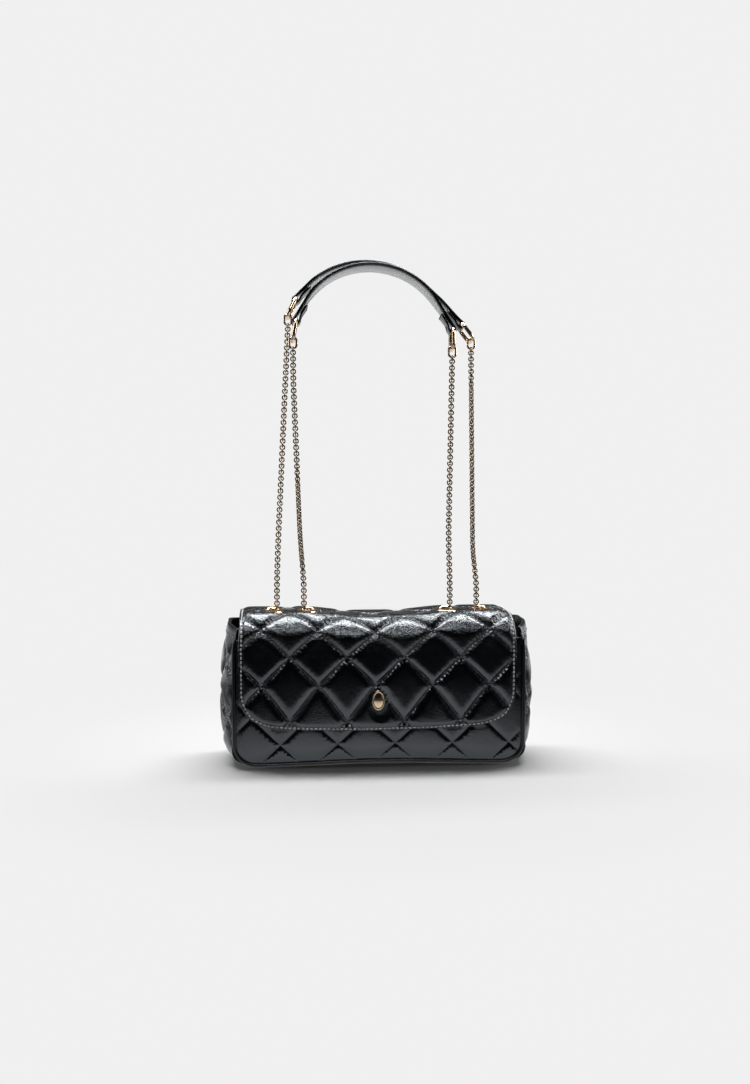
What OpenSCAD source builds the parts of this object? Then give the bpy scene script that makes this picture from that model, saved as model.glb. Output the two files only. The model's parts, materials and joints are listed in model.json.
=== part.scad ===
// Quilted flap bag on a double chain with two leather shoulder pads.
// Millimetres. The front faces -Y, +Z is up, and the origin is on the floor under the middle.

/* [Body] */
// Width of the front and back panels, seam to seam
panel_w = 234; // [200:1:270]
// Depth over everything, from the flap's face to the back seam
bag_d = 80; // [70:1:100]
// Height of the flap's top face above the floor
bag_h = 124; // [110:1:150]
// Height of the front panel's top edge
panel_h = 104; // [80:1:104]
// Radius of the front and back panels' lower corners
panel_corner_r = 18; // [10:1:30]
// Leather of the panels, with its backing
panel_t = 2; // [1.2:0.1:3]
// How far the side gussets swell beyond the panels
gusset_bulge = 10.5; // [4:0.5:14]
// How much narrower the gussets are at top and bottom than in the middle
gusset_shoulder = 4; // [1:0.5:8]
// Height of the gussets' folded top edge
gusset_h = 114; // [90:1:116]
// Width of the fold turned in along each gusset's top
gusset_fold = 12; // [4:0.5:16]
// Radius of the base's lower corners
base_corner_r = 24; // [12:1:32]
// Width of the rolled seam round the front and back panels
seam_w = 2.2; // [1:0.1:4]
// How far that seam stands proud of its panel
seam_proud = 0.6; // [0.2:0.1:1.5]

/* [Inside] */
// Soft padding behind the front and back panels
wadding_t = 2.4; // [1:0.1:5]
// Lining cloth
lining_t = 0.8; // [0.5:0.1:1.5]
// Stiffening board in the base
board_t = 1.6; // [1:0.1:3]
// Width of the slip pocket on the back lining
pocket_w = 130; // [80:1:170]
// Height of the slip pocket
pocket_h = 62; // [40:1:80]
// Height of the binding along the front mouth and the pocket
binding_h = 8; // [4:0.5:14]
// Thickness of that binding
binding_t = 1; // [0.6:0.1:2]

/* [Flap] */
// Width of the flap
flap_w = 224; // [180:1:230]
// Height of the flap's lower edge above the floor
flap_low = 35; // [20:1:70]
// Radius of the flap's lower corners
flap_corner_r = 28; // [10:1:40]
// Leather and padding of the flap
flap_t = 2.2; // [1.6:0.1:4]
// Lining of the flap
flap_lining_t = 1; // [0.6:0.1:1.6]
// Room between the closed flap and the front seam
flap_room = 0.8; // [0.5:0.1:3]
// Radius of the flap's roll over the front
front_roll_r = 20; // [14:1:26]
// Radius of the flap's roll over the back
back_roll_r = 14; // [10:1:18]
// Stiffening strip under the eyelets, front to back
strip_d = 22; // [20:0.5:30]
// Thickness of that strip
strip_t = 1.2; // [0.8:0.1:2]

/* [Quilting] */
// Width of a quilted diamond
diamond_w = 46; // [36:1:60]
// Height of a quilted diamond
diamond_h = 46.5; // [36:0.5:64]
// How far the flap's pillows swell beyond its plain edge
pillow_h = 1.6; // [0.8:0.1:1.8]
// Distance from a stitch line to the level part of a pillow
pillow_slope = 7; // [4:0.5:9]
// Plain edge of the flap round its quilting
plain_edge = 5; // [3:0.5:8]
// Width over which the pillows end at the flap's fold
crease_w = 5; // [4:0.5:8]
// Height of a crossing of stitch lines above the flap's lower edge
flap_cross_up = 32.5; // [20:0.5:60]
// Distance of that crossing from the middle, to the right
flap_cross_x = -3.5; // [-12:0.5:12]
// Height of a crossing on the front panel
front_cross_z = 19; // [8:1:40]
// Distance of that crossing from the middle
front_cross_x = 12.5; // [0:0.5:24]
// Height of a crossing on the back panel
back_cross_z = 24; // [8:1:40]

/* [Clasp] */
// Height of the magnetic snap above the floor
snap_z = 55; // [50:1:80]
// Diameter of the snap's plates
snap_d = 17; // [12:0.5:20]
// Thickness of a snap plate
snap_plate_t = 0.5; // [0.4:0.1:0.8]
// Diameter of the snap's boss
boss_d = 4; // [3:0.1:6]
// Diameter of the socket's recess
recess_d = 7.5; // [6:0.1:10]
// Width of the plain oval stud on the flap's face
stud_w = 10; // [6:0.5:16]
// Height of that stud
stud_h = 16; // [10:0.5:22]
// How far the stud stands off the leather
stud_t = 2.2; // [1:0.1:4]
// Prongs that hold the stud through the leather
prong_d = 1.4; // [1:0.1:2]

/* [Eyelets] */
// Distance of the outer eyelets from the middle
outer_eyelet_x = 84.5; // [78:0.5:96]
// Distance of the inner eyelets from the middle
inner_eyelet_x = 56.5; // [44:0.5:58]
// Set-back of the eyelets from the flap's face
eyelet_back = 32; // [31:0.5:36]
// Outer diameter of an eyelet
eyelet_d = 18; // [15:0.5:18]
// Hole through an eyelet
eyelet_hole_d = 11.5; // [9:0.1:12]
// Wall of an eyelet's barrel
barrel_t = 0.5; // [0.3:0.1:0.8]
// Height of an eyelet's flange above the leather
flange_t = 1.4; // [0.8:0.1:2.4]

/* [Chain] */
// Outer radius of a chain ring
ring_r = 2.3; // [2.2:0.05:2.4]
// Radial thickness of a ring's band
ring_wall = 0.75; // [0.7:0.01:0.8]
// Width of a ring's band
ring_w = 1.4; // [1:0.1:1.5]
// Distance from ring to ring
ring_pitch = 2.58; // [2.5:0.01:2.62]
// Height of the strap's first bend above the flap
bend_rise = 3; // [2.6:0.1:5]
// Drop of the hidden chain run before it turns under the flap
run_drop = 10; // [8:0.5:10]
// Radius of the hidden run's turns
run_turn_r = 9; // [9:0.5:10]

/* [Rings] */
// Width of an oval link between chain and pad ring
link_w = 7; // [6:0.1:9]
// Length of that link
link_l = 10; // [9:0.1:13]
// Wire of that link
link_wire_d = 1.2; // [1:0.05:1.4]
// Width of a pad ring, along its bar
pad_ring_w = 20; // [18:0.5:24]
// Length of a pad ring
pad_ring_l = 17; // [15:0.5:20]
// Wire of a pad ring
pad_ring_wire_d = 2.2; // [1.8:0.1:2.6]
// Corner radius of a pad ring, to the middle of its wire
pad_ring_corner_r = 4; // [3:0.1:5]

/* [Shoulder pads] */
// Width of a pad
pad_w = 20; // [16:0.5:20.5]
// Width of the tab that folds round the pad ring
tab_w = 9.6; // [6:0.1:9.8]
// Length of the folded tab
tab_l = 15; // [10:0.5:18]
// Step of the folded tab under the pad
tab_t = 1.6; // [1:0.1:3]
// Upper leather of a pad
pad_leather_t = 1.8; // [1.2:0.1:3]
// Lower leather of a pad
pad_lining_t = 1.2; // [0.8:0.1:2]
// Leather round the pad ring
loop_t = 2.2; // [1.6:0.1:3]
// Radius of the outer pad's arch
outer_arch_r = 70; // [60:1:74]
// Radius of the inner pad's arch
inner_arch_r = 63; // [56:1:66]
// Half the distance between the two loops, front to back
loop_y = 11; // [11:0.5:14]
// Lean of both pads to the rear, in degrees
pad_lean = 12; // [0:1:15]

/* [Hidden] */

$fn = 64;
OVER = 1;            // overrun of every cut
FIT = 0.1;           // room between pieces that are sewn or pressed together
SHEET_GAP = 0.3;     // room between soft sheets that move apart
LINK_PLAY = 0.1;     // room between linked wires

// Levels from the flap's face at the front to the back seam
face_y = (stud_t - bag_d) / 2;
rear_y = (stud_t + bag_d) / 2;
flap_inner_y = face_y + flap_t + flap_lining_t;
front_seam_y = flap_inner_y + flap_room;
front_y = front_seam_y + seam_proud;
back_y = rear_y - seam_proud;
body_mid_y = (front_y + back_y) / 2;
body_d = back_y - front_y;
half_w = panel_w / 2 + gusset_bulge;
fold_y = face_y + front_roll_r;
hinge_z = bag_h - back_roll_r - panel_t;
eyelet_y = face_y + eyelet_back;
pivot_z = bag_h + bend_rise;
eyelet_seat = eyelet_hole_d / 2 - SHEET_GAP;
eyelet_lean = sqrt(eyelet_seat * eyelet_seat - ring_w * ring_w / 4) - ring_r;
outer_chain_x = outer_eyelet_x - eyelet_lean;
inner_chain_x = inner_eyelet_x + eyelet_lean;
top_under_z = bag_h - flap_t - flap_lining_t;
lining_top_z = panel_h - FIT;
lining_floor_z = panel_t + board_t + 2 * FIT;
snap_face_y = front_y - snap_plate_t;

// Chain and strap points, as shares of the bag's own sizes
link_bend_r = (link_w - link_wire_d) / 2;
ring_hole_r = ring_r - ring_wall;
link_seat = ring_hole_r - link_wire_d / 2 - 2 * LINK_PLAY;
ring_seat = (link_wire_d + pad_ring_wire_d) / 2 + LINK_PLAY;
strap_rise = 216.3;          // from the first bend to the inner left pad ring's link
outer_left_up = 20.2;        // how much higher the outer left link sits
outer_right_up = 1.7;
inner_right_down = 6.5;
outer_left_x = -71.3;
outer_right_x = 78.7;
inner_left_x = -67.7;
inner_right_x = 60.3;
outer_left_joint = [outer_left_x, loop_y, pivot_z + strap_rise + outer_left_up];
outer_right_joint = [outer_right_x, loop_y, pivot_z + strap_rise + outer_right_up];
inner_left_joint = [inner_left_x, -loop_y, pivot_z + strap_rise];
inner_right_joint = [inner_right_x, -loop_y, pivot_z + strap_rise - inner_right_down];
outer_ring_tilts = [26, -36];
inner_ring_tilts = [10, 0];
outer_arch_angles = [42, 44];
inner_arch_angles = [58, 57];
outer_left_sway_shares = [[0.24, 0.13]];
outer_right_sway_shares = [[0.2, 0.95]];
inner_left_sway_shares = [[0.26, 0.35], [0.88, 0.99]];
inner_right_sway_shares = [[0.27, -2]];
BENDS = 4;           // rings that stay upright for the strap's bends
ARC_STEPS = 32;      // straight steps in a pad's arch
SOFT_RINGS = 4;      // rings over which a strand's knot is rounded
ROLL_STEPS = 5;      // straight steps of a stitch line over a roll
groove_share = 0.5;  // share of the leather that the stitch lines sink into
twist = 45;
no_twist_shares = [0, 0, 0, 0];
outer_right_twist_shares = [0.08, 0.24, 0.78, 0.94];
inner_left_twist_shares = [0.08, 0.22, 0.42, 0.6];

// Small functions
function disc_r(chord, rise) = (chord * chord + rise * rise) / (2 * rise);
function ease(t) = t <= 0 ? 0 : t >= 1 ? 1 : t * t * (3 - 2 * t);
function ramp(s, a, b) = b > a ? ease((s - a) / (b - a)) : 0;
function sum_to(v, n) = n <= 0 ? 0 : v[n - 1] + sum_to(v, n - 1);
function spans(p) = [for (i = [1 : len(p) - 1]) norm(p[i] - p[i - 1])];
function route_length(p) = sum_to(spans(p), len(p) - 1);
function point_in(p, l, s, i = 0) =
    s <= l[i] || i == len(l) - 1
        ? p[i] + (p[i + 1] - p[i]) * s / l[i]
        : point_in(p, l, s - l[i], i + 1);
function even_count(len_, pitch) = 2 * ceil(len_ / (2 * pitch));

// Lengths along the flap, from its lower edge up the front, over the top and down the back
flap_roll_v = bag_h - front_roll_r - flap_low;
flap_top_v = flap_roll_v + front_roll_r * PI / 2;
flap_rear_v = flap_top_v + back_y - back_roll_r - fold_y;
flap_back_v = flap_rear_v + back_roll_r * PI / 2;
function roll_angle(v, r) = v / r * 180 / PI;
function even_steps(a, b) = [for (i = [0 : ROLL_STEPS]) a + (b - a) * i / ROLL_STEPS];
flap_front_knots = concat([-OVER], even_steps(flap_roll_v, flap_top_v), [flap_top_v + OVER]);
flap_top_knots = concat([flap_top_v], even_steps(flap_rear_v, flap_back_v), [flap_back_v + back_roll_r]);
panel_knots = [-OVER, bag_h];

// A point on a quilted sheet: u across, v up or along it, h out from its leather
function flap_point(u, v, h) =
    v <= flap_roll_v ? [u, face_y - h, flap_low + v]
    : v <= flap_top_v
        ? let (a = roll_angle(v - flap_roll_v, front_roll_r), r = front_roll_r + h)
            [u, fold_y - r * cos(a), bag_h - front_roll_r + r * sin(a)]
    : v <= flap_rear_v ? [u, fold_y + v - flap_top_v, bag_h + h]
    : v <= flap_back_v
        ? let (a = roll_angle(v - flap_rear_v, back_roll_r), r = back_roll_r + h)
            [u, back_y - back_roll_r + r * sin(a), bag_h - back_roll_r + r * cos(a)]
    : [u, back_y + h, bag_h - back_roll_r - v + flap_back_v];
function quilt_point(sheet, u, v, h) =
    sheet == "front" ? [u, front_y - h, v]
    : sheet == "back" ? [-u, back_y + h, v]
    : flap_point(u, v, h);

// A strand: upright rings at the bends, then a route of knots up to the oval link
function soft_point(p, l, total, s) =
    let (reach = min(s, total - s, SOFT_RINGS * ring_pitch))
    (point_in(p, l, s - reach) + point_in(p, l, s - reach / 2) + point_in(p, l, s)
        + point_in(p, l, s + reach / 2) + point_in(p, l, s + reach)) / 5;
function strand_knots(from, to, shares) = concat(
    [from + [0, 0, BENDS * ring_pitch], from + [0, 0, (BENDS + SOFT_RINGS) * ring_pitch]],
    [for (k = shares) [
        from[0] + (to[0] - from[0]) * k[1],
        from[1] + (to[1] - from[1]) * k[0],
        from[2] + (to[2] - from[2]) * k[0]]],
    [to]);
function strand_points(from, to, shares) =
    let (
        knots = strand_knots(from, to, shares),
        l = spans(knots),
        total = route_length(knots),
        count = even_count(total, ring_pitch))
    concat(
        [for (k = [0 : BENDS - 1]) from + [0, 0, k * ring_pitch]],
        [for (k = [0 : count]) soft_point(knots, l, total, total * k / count)]);
function strand_end(joint) = joint - [0, 0, link_l - link_wire_d + link_seat];
function eyelet_point(x) = [x, eyelet_y, pivot_z];

outer_left_points =
    strand_points(eyelet_point(-outer_chain_x), strand_end(outer_left_joint), outer_left_sway_shares);
outer_right_points =
    strand_points(eyelet_point(outer_chain_x), strand_end(outer_right_joint), outer_right_sway_shares);
inner_left_points =
    strand_points(eyelet_point(-inner_chain_x), strand_end(inner_left_joint), inner_left_sway_shares);
inner_right_points =
    strand_points(eyelet_point(inner_chain_x), strand_end(inner_right_joint), inner_right_sway_shares);

// The hidden run hangs from the inner eyelet to the outer one
run_span = outer_chain_x - inner_chain_x;
run_quarter = run_turn_r * PI / 2;
run_level = run_span - 2 * run_turn_r;
run_total = 2 * run_drop + 2 * run_quarter + run_level;
run_count = even_count(run_total, ring_pitch + LINK_PLAY / 2);
function run_point(s) =
    s > run_total / 2
        ? let (m = run_point(run_total - s)) [run_span - m[0], m[1]]
        : s <= run_drop
        ? [0, -s]
        : s <= run_drop + run_quarter
        ? let (a = (s - run_drop) / run_turn_r * 180 / PI)
            [run_turn_r * (1 - cos(a)), -run_drop - run_turn_r * sin(a)]
        : [run_turn_r + s - run_drop - run_quarter, -run_drop - run_turn_r];
function run_ring(k) =
    k % 2 == 1 || k == 0 || k == run_count
        ? run_point(run_total * k / run_count)
        : (run_ring(k - 1) + run_ring(k + 1)) / 2;
function run_points(x, way) = [for (k = [0 : run_count])
    let (p = run_ring(k))
    [x + way * p[0], eyelet_y, pivot_z + p[1]]];

// Shared shapes
module upright(y, t) {
    translate([0, y + t, 0])
        rotate([90, 0, 0])
            linear_extrude(t)
                children();
}

module panel_outline(grow, top) {
    half = panel_w / 2 + grow;
    r = panel_corner_r + grow;
    translate([-half, panel_corner_r])
        square([2 * half, top - panel_corner_r]);
    translate([-half + r, -grow])
        square([2 * (half - r), top + grow]);
    for (side = [-1, 1])
        translate([side * (half - r), panel_corner_r])
            circle(r);
}

module body_plan(grow) {
    disc = disc_r(body_d / 2, gusset_bulge);
    flat = panel_w / 2 + grow;
    translate([-flat, body_mid_y - disc])
        square([2 * flat, 2 * disc]);
    for (side = [0, 1])
        mirror([side, 0])
            intersection() {
                translate([half_w - disc, body_mid_y])
                    circle(disc + grow);
                translate([flat - panel_t, body_mid_y - disc])
                    square([disc, 2 * disc]);
            }
}

module body_front(grow) {
    mid = gusset_h / 2;
    disc = disc_r(mid, gusset_shoulder);
    drop = mid - base_corner_r;
    low = half_w - disc + sqrt(disc * disc - drop * drop);
    r = base_corner_r + grow;
    intersection() {
        intersection_for (side = [-1, 1])
            translate([side * (half_w - disc), mid])
                circle(disc + grow);
        union() {
            translate([-half_w - OVER, base_corner_r])
                square([2 * (half_w + OVER), bag_h]);
            translate([-low + base_corner_r, -grow])
                square([2 * (low - base_corner_r), bag_h]);
            for (side = [-1, 1])
                translate([side * (low - base_corner_r), base_corner_r])
                    circle(r);
        }
    }
}

module body_column(grow, z0, z1) {
    translate([0, 0, z0])
        linear_extrude(z1 - z0)
            body_plan(grow);
}

module body_block(grow, y0, y1, z0, z1) {
    intersection() {
        body_column(grow, z0, z1);
        upright(y0, y1 - y0)
            body_front(grow);
    }
}

module ring(r, wall, w) {
    rotate_extrude()
        translate([r - wall, -w / 2])
            square([wall, w]);
}

// Turns the local +Z to the direction d, then lays a ring across it
module ring_at(p, d, turn, side) {
    u = d / norm(d);
    translate(p)
        rotate([-asin(u[1]), atan2(u[0], u[2]), 0])
            rotate([0, 0, turn])
                rotate(side ? [90, 0, 0] : [0, 90, 0])
                    ring(ring_r, ring_wall, ring_w, $fn = 32);
}

module rings(points, first, last, twist_shares) {
    end = len(points) - 1;
    for (k = [first : last]) {
        ahead = points[min(k + 1, end)];
        behind = points[max(k - 1, 0)];
        share = k / end;
        turn = twist * (ramp(share, twist_shares[0], twist_shares[1])
            - ramp(share, twist_shares[2], twist_shares[3]));
        ring_at(points[k], ahead - behind, turn, k % 2 == 1);
    }
}

module strand(points, twist_shares) {
    rings(points, BENDS + 1, len(points) - 1, twist_shares);
}

module bend_links(first, left, right) {
    rings(left, first, first + 1, no_twist_shares);
    rings(right, first, first + 1, no_twist_shares);
}

// A V-shaped groove along one stitch line, through the knots' lengths
module groove(sheet, start, lean, knots, deep, crest) {
    rate = lean * diamond_w / diamond_h;
    slope = pillow_slope * norm([diamond_w, diamond_h]) / diamond_h / (deep + crest);
    sides = [0, 1, -1] * slope * (deep + crest + OVER);
    heights = [-deep, crest + OVER, crest + OVER];
    last = len(knots) - 1;
    polyhedron(
        [for (v = knots, j = [0 : 2]) quilt_point(sheet, start + rate * v + sides[j], v, heights[j])],
        concat(
            [[0, 2, 1]],
            [for (i = [0 : last - 1], j = [0 : 2])
                [3 * i + j, 3 * i + (j + 1) % 3, 3 * i + 3 + (j + 1) % 3]],
            [for (i = [0 : last - 1], j = [0 : 2])
                [3 * i + j, 3 * i + 3 + (j + 1) % 3, 3 * i + 3 + j]],
            [[3 * last, 3 * last + 1, 3 * last + 2]]));
}

// Both families of stitch lines that reach a sheet, through one crossing
module grooves(sheet, cross_u, cross_v, half, knots, deep, crest) {
    rate = diamond_w / diamond_h;
    low = knots[0];
    high = knots[len(knots) - 1];
    span = half + rate * (high - low) / 2;
    count = ceil((span + rate * (high + abs(cross_v)) + abs(cross_u)) / diamond_w);
    for (lean = [-1, 1])
        for (k = [-count : count]) {
            start = cross_u + k * diamond_w - lean * rate * cross_v;
            if (abs(start + lean * rate * (low + high) / 2) < span)
                groove(sheet, start, lean, knots, deep, crest);
        }
}

// A wire ring with round corners, lying in XY, l along Y and w along X
module wire_ring(w, l, corner, wire_d) {
    half_x = (w - wire_d) / 2 - corner;
    half_y = (l - wire_d) / 2 - corner;
    for (q = [0 : 3]) {
        sx = q == 0 || q == 3 ? 1 : -1;
        sy = q < 2 ? 1 : -1;
        translate([sx * half_x, sy * half_y, 0])
            rotate([0, 0, q * 90])
                rotate_extrude(angle = 90)
                    translate([corner, 0])
                        circle(wire_d / 2, $fn = 24);
    }
    for (s = [-1, 1]) {
        if (half_x > 0)
            translate([-half_x, s * (half_y + corner), 0])
                rotate([0, 90, 0])
                    cylinder(r = wire_d / 2, h = 2 * half_x, $fn = 24);
        if (half_y > 0)
            translate([s * (half_x + corner), -half_y, 0])
                rotate([-90, 0, 0])
                    cylinder(r = wire_d / 2, h = 2 * half_y, $fn = 24);
    }
}

module oval_link(joint) {
    translate(joint - [0, 0, (link_l - link_wire_d) / 2])
        rotate([90, 0, 0])
            wire_ring(link_w, link_l, link_bend_r, link_wire_d);
}

// Pad ends: the bar of each pad ring, from its joint and its tilt
bar_gap = pad_ring_l - pad_ring_wire_d;
loop_r = pad_ring_wire_d / 2 + FIT + loop_t;
function bar_point(joint, tilt) =
    [joint[0] + bar_gap * sin(tilt), joint[2] - ring_seat + bar_gap * cos(tilt)];

module pad_ring(joint, tilt) {
    translate(joint - [0, 0, ring_seat])
        rotate([0, tilt, 0])
            translate([0, 0, bar_gap / 2])
                rotate([90, 0, 90])
                    wire_ring(pad_ring_w, pad_ring_l, pad_ring_corner_r, pad_ring_wire_d);
}

// The arch: legs run straight from a round middle to the two pad rings
function leg_pair(gap, r, a) =
    let (
        rest = gap - (r - loop_r) * [sin(a[1]) + sin(a[0]), cos(a[1]) - cos(a[0])],
        det = sin(a[0] + a[1]))
    [(cos(a[1]) * rest[1] + sin(a[1]) * rest[0]) / det,
     (sin(a[0]) * rest[0] - cos(a[0]) * rest[1]) / det];
function arch_middle(bar, leg, r, a) =
    bar - (r - loop_r) * [-sin(a), cos(a)] + leg * [cos(a), sin(a)];

function spoke(r, a) = [r * sin(a), r * cos(a)];
function leg_end(r, a, leg) = spoke(r, a) + leg * [sign(a) * cos(a), -abs(sin(a))];
function arc_points(r, a0, a1) = [for (i = [0 : ARC_STEPS])
    spoke(r, a0 + (a1 - a0) * i / ARC_STEPS)];

module arch_band(r, a, legs, out, deep, cut) {
    polygon(concat(
        [leg_end(r - out, -a[0], legs[0] - cut)],
        arc_points(r - out, -a[0], a[1]),
        [leg_end(r - out, a[1], legs[1] - cut), leg_end(r - deep, a[1], legs[1] - cut)],
        arc_points(r - deep, a[1], -a[0]),
        [leg_end(r - deep, -a[0], legs[0] - cut)]));
}

module tab_end(r, a, leg) {
    under = pad_leather_t + pad_lining_t + tab_t;
    rotate(-a) {
        difference() {
            union() {
                translate([leg, r - loop_r])
                    circle(loop_r, $fn = 48);
                polygon([
                    [leg, r - pad_leather_t / 2], [leg - tab_l, r - pad_leather_t / 2],
                    [leg - tab_l, r - under], [leg, r - 2 * loop_r]]);
            }
            translate([leg, r - loop_r])
                circle(pad_ring_wire_d / 2 + FIT, $fn = 48);
        }
    }
}

module pad_plan(reach, middle_x, bars) {
    taper = tab_l;
    inner = [bars[0][0] + taper - middle_x, bars[1][0] - taper - middle_x];
    polygon([
        [-reach, -tab_w / 2], [bars[0][0] - middle_x, -tab_w / 2], [inner[0], -pad_w / 2],
        [inner[1], -pad_w / 2], [bars[1][0] - middle_x, -tab_w / 2], [reach, -tab_w / 2],
        [reach, tab_w / 2], [bars[1][0] - middle_x, tab_w / 2], [inner[1], pad_w / 2],
        [inner[0], pad_w / 2], [bars[0][0] - middle_x, tab_w / 2], [-reach, tab_w / 2]]);
}

module leaned(joints) {
    translate(joints[0])
        rotate(a = -pad_lean, v = joints[1] - joints[0])
            translate(-joints[0])
                children();
}

module pad_solid(joints, tilts, r, a, y, part) {
    bars = [bar_point(joints[0], tilts[0]), bar_point(joints[1], tilts[1])];
    legs = leg_pair(bars[1] - bars[0], r, a);
    middle = arch_middle(bars[0], legs[0], r, a[0]);
    leaned(joints)
        translate([middle[0], y, middle[1]])
            intersection() {
                if (part == "leather") {
                    upright(-pad_w, 2 * pad_w)
                        arch_band(r, a, legs, 0, pad_leather_t, 0);
                    upright(-pad_w, 2 * pad_w)
                        tab_end(r, a[1], legs[1]);
                    mirror([1, 0, 0])
                        upright(-pad_w, 2 * pad_w)
                            tab_end(r, a[0], legs[0]);
                } else
                    upright(-pad_w, 2 * pad_w)
                        arch_band(r, a, legs, pad_leather_t, pad_leather_t + pad_lining_t, tab_l + FIT);
                translate([0, 0, -2 * r])
                    linear_extrude(4 * r)
                        pad_plan(2 * r, middle[0], bars);
            }
}

// Body of the bag
module snap_seat(y, t) {
    translate([0, y, snap_z])
        rotate([-90, 0, 0])
            cylinder(d = snap_d + 2 * FIT, h = t);
}

module front_panel() {
    swell = seam_proud - FIT;
    color([0.03, 0.035, 0.04])
        difference() {
            union() {
                upright(front_y, panel_t)
                    panel_outline(-seam_w - FIT, panel_h);
                upright(front_y - swell, swell + panel_t / 2)
                    panel_outline(-seam_w - plain_edge / 2, panel_h - plain_edge / 2);
            }
            difference() {
                grooves("front", front_cross_x, front_cross_z, panel_w / 2, panel_knots,
                    panel_t * groove_share, swell);
                snap_seat(front_y - 2 * OVER, panel_t + 2 * OVER);
            }
            snap_seat(front_y - OVER, OVER);
            translate([0, front_y - OVER, snap_z])
                rotate([-90, 0, 0])
                    cylinder(d = recess_d + 2 * (snap_plate_t + FIT), h = panel_t + 2 * OVER);
        }
}

module back_panel() {
    top = hinge_z - SHEET_GAP;
    color([0.03, 0.035, 0.04])
        difference() {
            union() {
                upright(back_y - panel_t, panel_t)
                    panel_outline(-seam_w - FIT, top);
                upright(back_y - panel_t / 2, panel_t / 2 + seam_proud)
                    panel_outline(-seam_w - plain_edge / 2, top - plain_edge);
            }
            grooves("back", 0, back_cross_z, panel_w / 2, panel_knots, panel_t * groove_share, seam_proud);
        }
}

module seam(y, top) {
    difference() {
        upright(y, panel_t + seam_proud)
            panel_outline(0, top);
        upright(y - OVER, panel_t + seam_proud + 2 * OVER)
            panel_outline(-seam_w, top + OVER);
    }
}

module front_seam() {
    color([0.02, 0.025, 0.03])
        seam(front_seam_y, panel_h);
}

module back_seam() {
    color([0.02, 0.025, 0.03])
        seam(back_y - panel_t, hinge_z - SHEET_GAP);
}

module body_shell(z0, z1) {
    y0 = front_y + panel_t;
    y1 = back_y - panel_t;
    difference() {
        body_block(0, y0, y1, z0, z1);
        body_block(-panel_t, y0 - OVER, y1 + OVER, z0 - OVER, z1 + OVER);
    }
}

module gusset(side) {
    fold_x = half_w - gusset_shoulder - panel_t - FIT;
    intersection() {
        body_shell(base_corner_r, gusset_h);
        translate([side > 0 ? 0 : -2 * half_w, -bag_d, 0])
            cube([2 * half_w, 2 * bag_d, bag_h]);
    }
    // the top of the gusset folds inwards under the flap
    intersection() {
        body_block(-panel_t / 2, fold_y - SHEET_GAP, back_y - back_roll_r, gusset_h - panel_t, gusset_h);
        translate([side > 0 ? fold_x - gusset_fold : -fold_x - gusset_shoulder - panel_t, -bag_d, 0])
            cube([gusset_fold + gusset_shoulder + panel_t, 2 * bag_d, bag_h]);
    }
}

module left_gusset() {
    color([0.03, 0.035, 0.04])
        gusset(-1);
}

module right_gusset() {
    color([0.03, 0.035, 0.04])
        gusset(1);
}

module base_panel() {
    color([0.03, 0.035, 0.04])
        body_shell(-OVER, base_corner_r);
}

// Inside of the bag
module wadding(y) {
    upright(y, wadding_t)
        panel_outline(-panel_t - seam_w - 2 * FIT, panel_h - binding_h);
}

module front_wadding() {
    color([0.85, 0.85, 0.82])
        difference() {
            wadding(front_y + panel_t + FIT);
            translate([0, front_y, snap_z])
                rotate([-90, 0, 0])
                    cylinder(d = snap_d + 2 * FIT, h = panel_t + snap_plate_t + 2 * FIT);
        }
}

module back_wadding() {
    color([0.85, 0.85, 0.82])
        wadding(back_y - panel_t - FIT - wadding_t);
}

module base_board() {
    half = panel_w / 2 - base_corner_r;
    y0 = front_y + panel_t + wadding_t + 2 * FIT;
    y1 = back_y - panel_t - wadding_t - 2 * FIT;
    color([0.45, 0.36, 0.26])
        translate([-half, y0, panel_t + FIT])
            cube([2 * half, y1 - y0, board_t]);
}

lining_y0 = front_y + panel_t + wadding_t + 2 * FIT;
lining_y1 = back_y - panel_t - wadding_t - 2 * FIT;

module lining_outline(inset) {
    half = panel_w / 2 - panel_t - FIT - inset;
    r = base_corner_r - inset;
    floor_z = lining_floor_z + inset;
    translate([-half, floor_z + r])
        square([2 * half, bag_h]);
    translate([-half + r, floor_z])
        square([2 * (half - r), bag_h]);
    for (side = [-1, 1])
        translate([side * (half - r), floor_z + r])
            circle(r);
}

module lining() {
    color([0.55, 0.5, 0.45])
        difference() {
            intersection() {
                upright(lining_y0, lining_y1 - lining_y0)
                    lining_outline(0);
                translate([-half_w, -bag_d, 0])
                    cube([2 * half_w, 2 * bag_d, lining_top_z]);
            }
            upright(lining_y0 + lining_t, lining_y1 - lining_y0 - 2 * lining_t)
                lining_outline(lining_t);
        }
}

pocket_y = lining_y1 - lining_t - lining_t;
pocket_z = lining_top_z - binding_h - pocket_h;

module slip_pocket() {
    color([0.5, 0.45, 0.4])
        translate([-pocket_w / 2, pocket_y, pocket_z])
            cube([pocket_w, lining_t, pocket_h - binding_h]);
}

module pocket_binding() {
    color([0.03, 0.035, 0.04])
        translate([-pocket_w / 2, pocket_y + lining_t - binding_t, pocket_z + pocket_h - binding_h])
            cube([pocket_w, binding_t, binding_h]);
}

module mouth_binding() {
    half = panel_w / 2 - panel_t - 2 * seam_w;
    color([0.03, 0.035, 0.04])
        translate([-half, front_y + panel_t, panel_h - binding_h + FIT])
            cube([2 * half, binding_t, binding_h - FIT]);
}

// Magnetic snap
module snap_socket() {
    color([0.8, 0.66, 0.45])
        translate([0, snap_face_y, snap_z])
            rotate([-90, 0, 0])
                difference() {
                    union() {
                        cylinder(d = snap_d, h = snap_plate_t);
                        cylinder(d = recess_d + 2 * snap_plate_t, h = snap_plate_t + panel_t);
                    }
                    translate([0, 0, -OVER])
                        cylinder(d = recess_d, h = panel_t + OVER);
                }
}

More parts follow.
